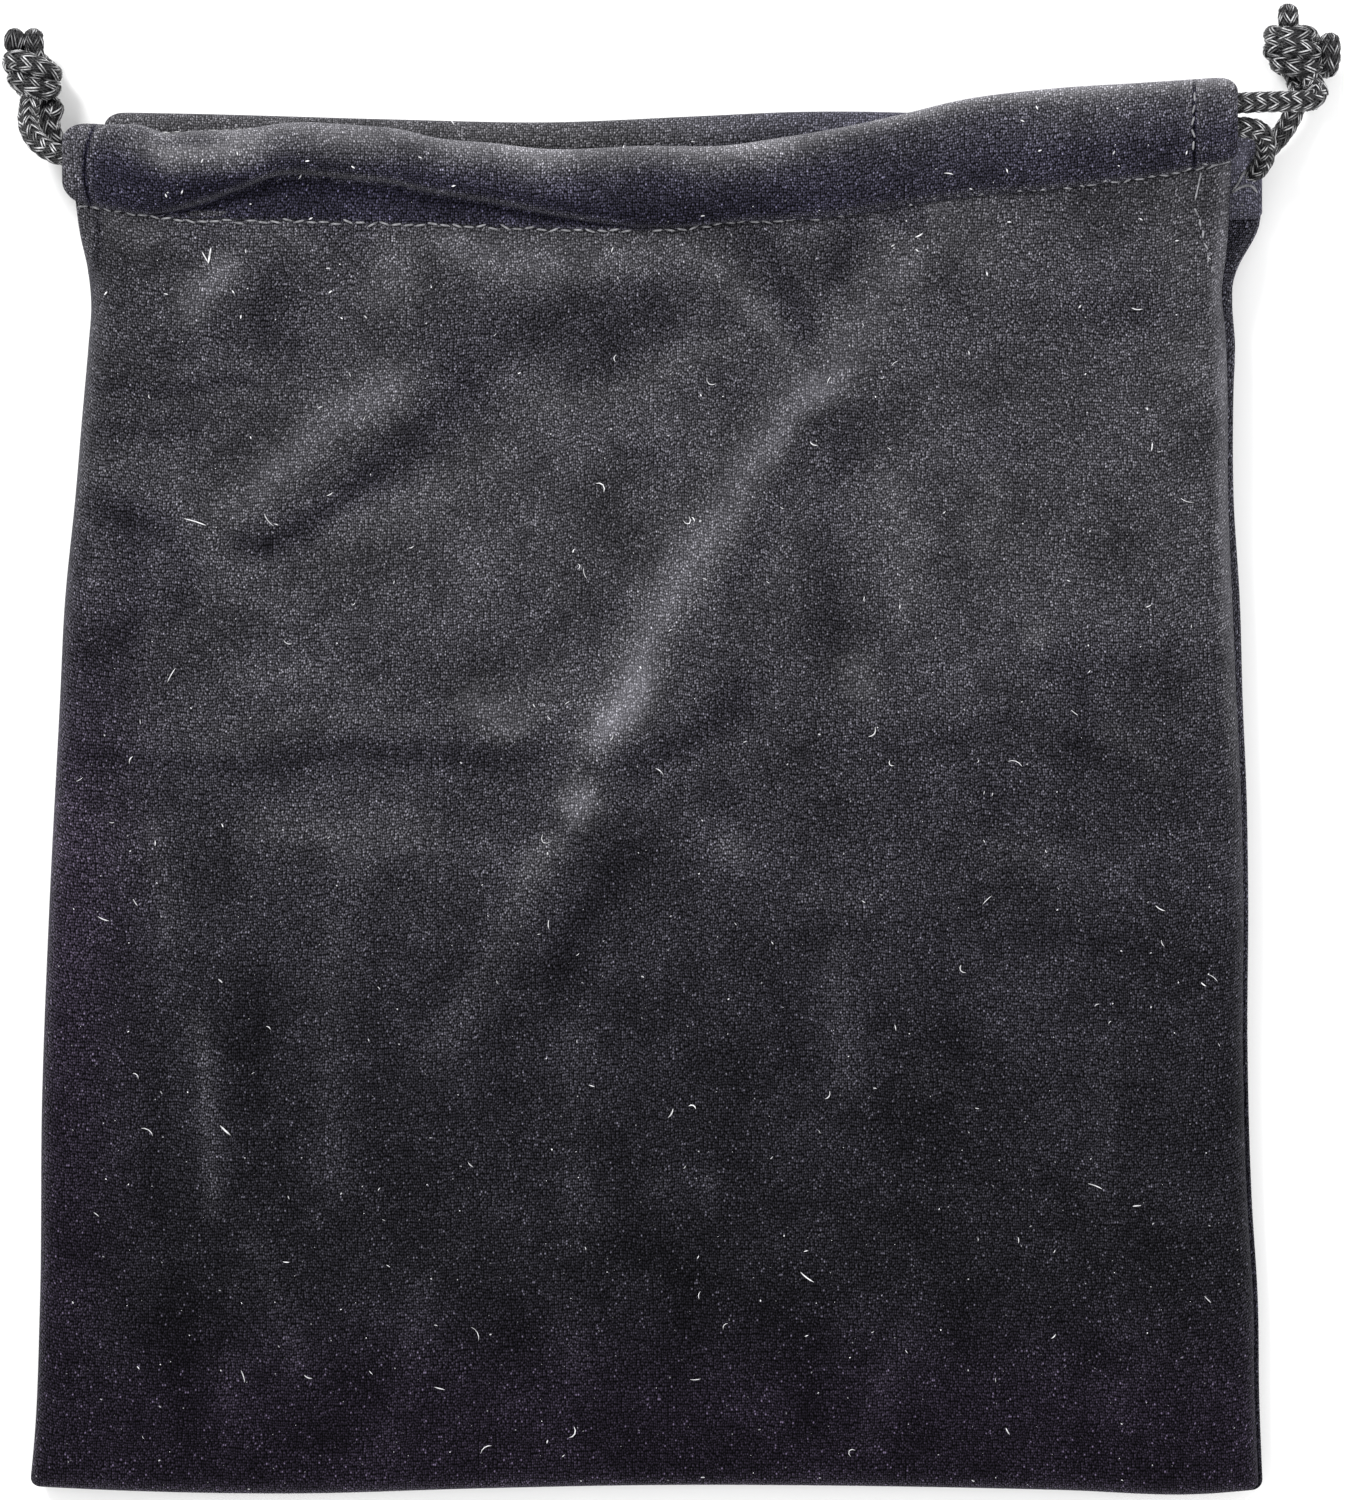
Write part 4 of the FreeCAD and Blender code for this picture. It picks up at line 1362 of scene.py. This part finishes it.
def make_fibres(surface, material):
    """Short pale hairs and specks that cling to the pile on the front."""
    chance = np.random.default_rng(SEED + 1)
    hairs = {-1: [], 1: []}
    for _ in range(hair_count):
        x, y = chance.uniform(-82, 83), chance.uniform(-95, 101)
        heading, bend = chance.uniform(0, 2 * np.pi), chance.normal(0, 0.5)
        length = 0.5 + 2.0 * chance.random() ** 3
        end = -1 if x < 0 else 1
        if abs(x) < 2.0:
            continue
        steps = np.linspace(-0.5, 0.5, 4) * length
        path = [(x + s * math.cos(heading + bend * s), y + s * math.sin(heading + bend * s)) for s in steps]
        hairs[end].append(loose_thread(path, surface, 0.05 + 0.05 * chance.random(), 0.12))
    for path, radius, lift in long_hairs:
        hairs[-1].append(loose_thread(path, surface, radius, lift))
    for number, (x, y) in enumerate(lint_specks):
        dx, dy = speck_reach * math.cos(2.4 * number), speck_reach * math.sin(2.4 * number)
        ends = [(x - dx, y - dy), (x, y), (x + dx, y + dy)]
        hairs[-1 if x < 0 else 1].append(loose_thread(ends, surface, 0.13, 0.2))
    for end, name in end_names.items():
        thread_piece(f"lint_{name}", hairs[end], None, end, material)


# --- Making
make_camera()
make_studio()
braid_look, velvet, thread_look = braid_material(), velvet_material(), thread_material()
lint_look = lint_material()

knots = {
    name: make_knot(f"{name}_knot_braid", strands, f"{name}_cord", f"{name}_knot", braid_look)
    for name, strands in (("left", left_knot_strands), ("right", right_knot_strands))
}
for name, route in (("left", left_route), ("right", right_route)):
    body, node = f"{name}_cord", f"{name}_drawstring"
    make_drawstring(f"{name}_drawstring_braid", route, body, node, braid_look)

sink = settle(lambda x, y: face_level(x, y, 1) + drawn(x, y, front_folds))


def front_relief(x, y):
    folds = drawn(*wandered(x, y, 0.5, 8.0), front_folds)
    return folds + (sink(x, y) if sink else 0)


front_panels, front_face, _ = make_panel("front", 1, front_relief, velvet)
back_panels, _, back_lining = make_panel("back", -1, None, velvet)
front_casings, front_tube = make_casing("front", 1, velvet)
back_casings, back_tube = make_casing("back", -1, velvet)
layer_sides = (("front", 1), ("back", -1))
hems = {(layer, end): make_hem(layer, side, end, velvet) for layer, side in layer_sides for end in end_names}
for end in end_names:
    make_side_allowance(end, velvet)
make_bottom_allowance(velvet)

outside = casing_rounds()[0][0] != INSIDE
front_top_side = np.concatenate([front_face.reshape(-1, 3), front_tube[:, outside].reshape(-1, 3)])
back_top_side = np.concatenate([back_lining.reshape(-1, 3), back_tube[:, ~outside].reshape(-1, 3)])


allowance_half = 1.05  # of the thickness of the turned-in cloth at a seam


def seam_surface(path):
    """Where the seams' stitches lie, on top of the turned-in cloth."""
    return np.array([(x, y, float(edge_level(np.array(y), 1)) + allowance_half) for x, y in path])


# Each row of thread: its node, its end, and its drawn lines, each with how deep its stitches are sunk.
thread_rows = [
    ("front_casing_stitch", -1, (row_along(front_line, -82.0, -1.0), -0.15)),
    ("front_casing_stitch", 1, (row_along(front_line, 1.0, 83.6), -0.25)),
    ("back_casing_stitch", -1, (row_along(back_line, -77.0, -1.0), 0)),
    ("back_casing_stitch", 1, (row_along(back_line, 1.0, 80.0), 0)),
    ("front_left_hem_stitch", -1, ([(-80.3, 96.6), (-81.3, 93.2), (-80.9, 89.8), (-80.2, 87.2)], 0.3),
     ([(-78.8, 84.6), (-80.0, 80.5), (-80.2, 76.2), (-79.7, 73.6)], 0.25)),
    ("front_right_hem_stitch", 1, ([(79.3, 102.6), (79.0, 97.0), (79.3, 92.6)], 0),
     ([(79.2, 86.0), (80.3, 83.2), (81.3, 78.3), (82.6, 74.6)], 0.1)),
    ("back_left_hem_stitch", -1, ([(-74.6, 97.0), (-74.6, 88.6)], 0), ([(-74.4, 86.0), (-75.0, 75.0)], 0)),
    ("back_right_hem_stitch", 1, ([(80.6, 92.0), (80.6, 84.6)], 0), ([(80.4, 82.0), (79.4, 74.5)], 0)),
]
# Threads hanging out of them: points and radius.
stray_threads = {
    "front_right_hem_stitch": [
        ([(80.4, 92.2), (82.2, 92.0), (84.4, 92.6)], 0.15),
        ([(80.4, 91.9), (80.0, 90.1), (79.3, 86.8)], 0.12),
    ],
    "back_right_hem_stitch": [
        ([(84.6, 88.2), (85.5, 89.3), (86.5, 91.3)], 0.17),
        ([(84.6, 88.0), (86.0, 89.0), (87.5, 89.1), (88.3, 88.0)], 0.21),
        ([(84.4, 86.1), (86.5, 86.4), (87.7, 85.3)], 0.16),
    ],
}
for node, end, *lines in thread_rows:
    surface = front_top_side if node.startswith("front") else back_top_side
    parts = [stitch for points, sunk in lines for stitch in stitch_row(points, surface, sunk)]
    parts += [loose_thread(points, surface, radius) for points, radius in stray_threads.get(node, [])]
    name = f"{node}es" if "hem" in node else f"{node}es_{end_names[end]}"
    thread_piece(name, parts, node, end, thread_look)

seam_inset = 2.4
for end, name in [*end_names.items(), (0, "bottom")]:
    if end:
        edge_x = side_edges[1][end > 0]
        path = [(float(edge_x(y)) - end * seam_inset, y) for y in np.linspace(-95, slit_y - 1, 90)]
    else:
        path = [(x, float(bottom_line(x)) + seam_inset) for x in np.linspace(-84, 84, 90)]
    row = stitch_row(path, seam_surface(path))
    thread_piece(f"{name}_seam_stitches", row, f"{name}_seam_thread", end, thread_look)
make_fibres(front_top_side, lint_look)
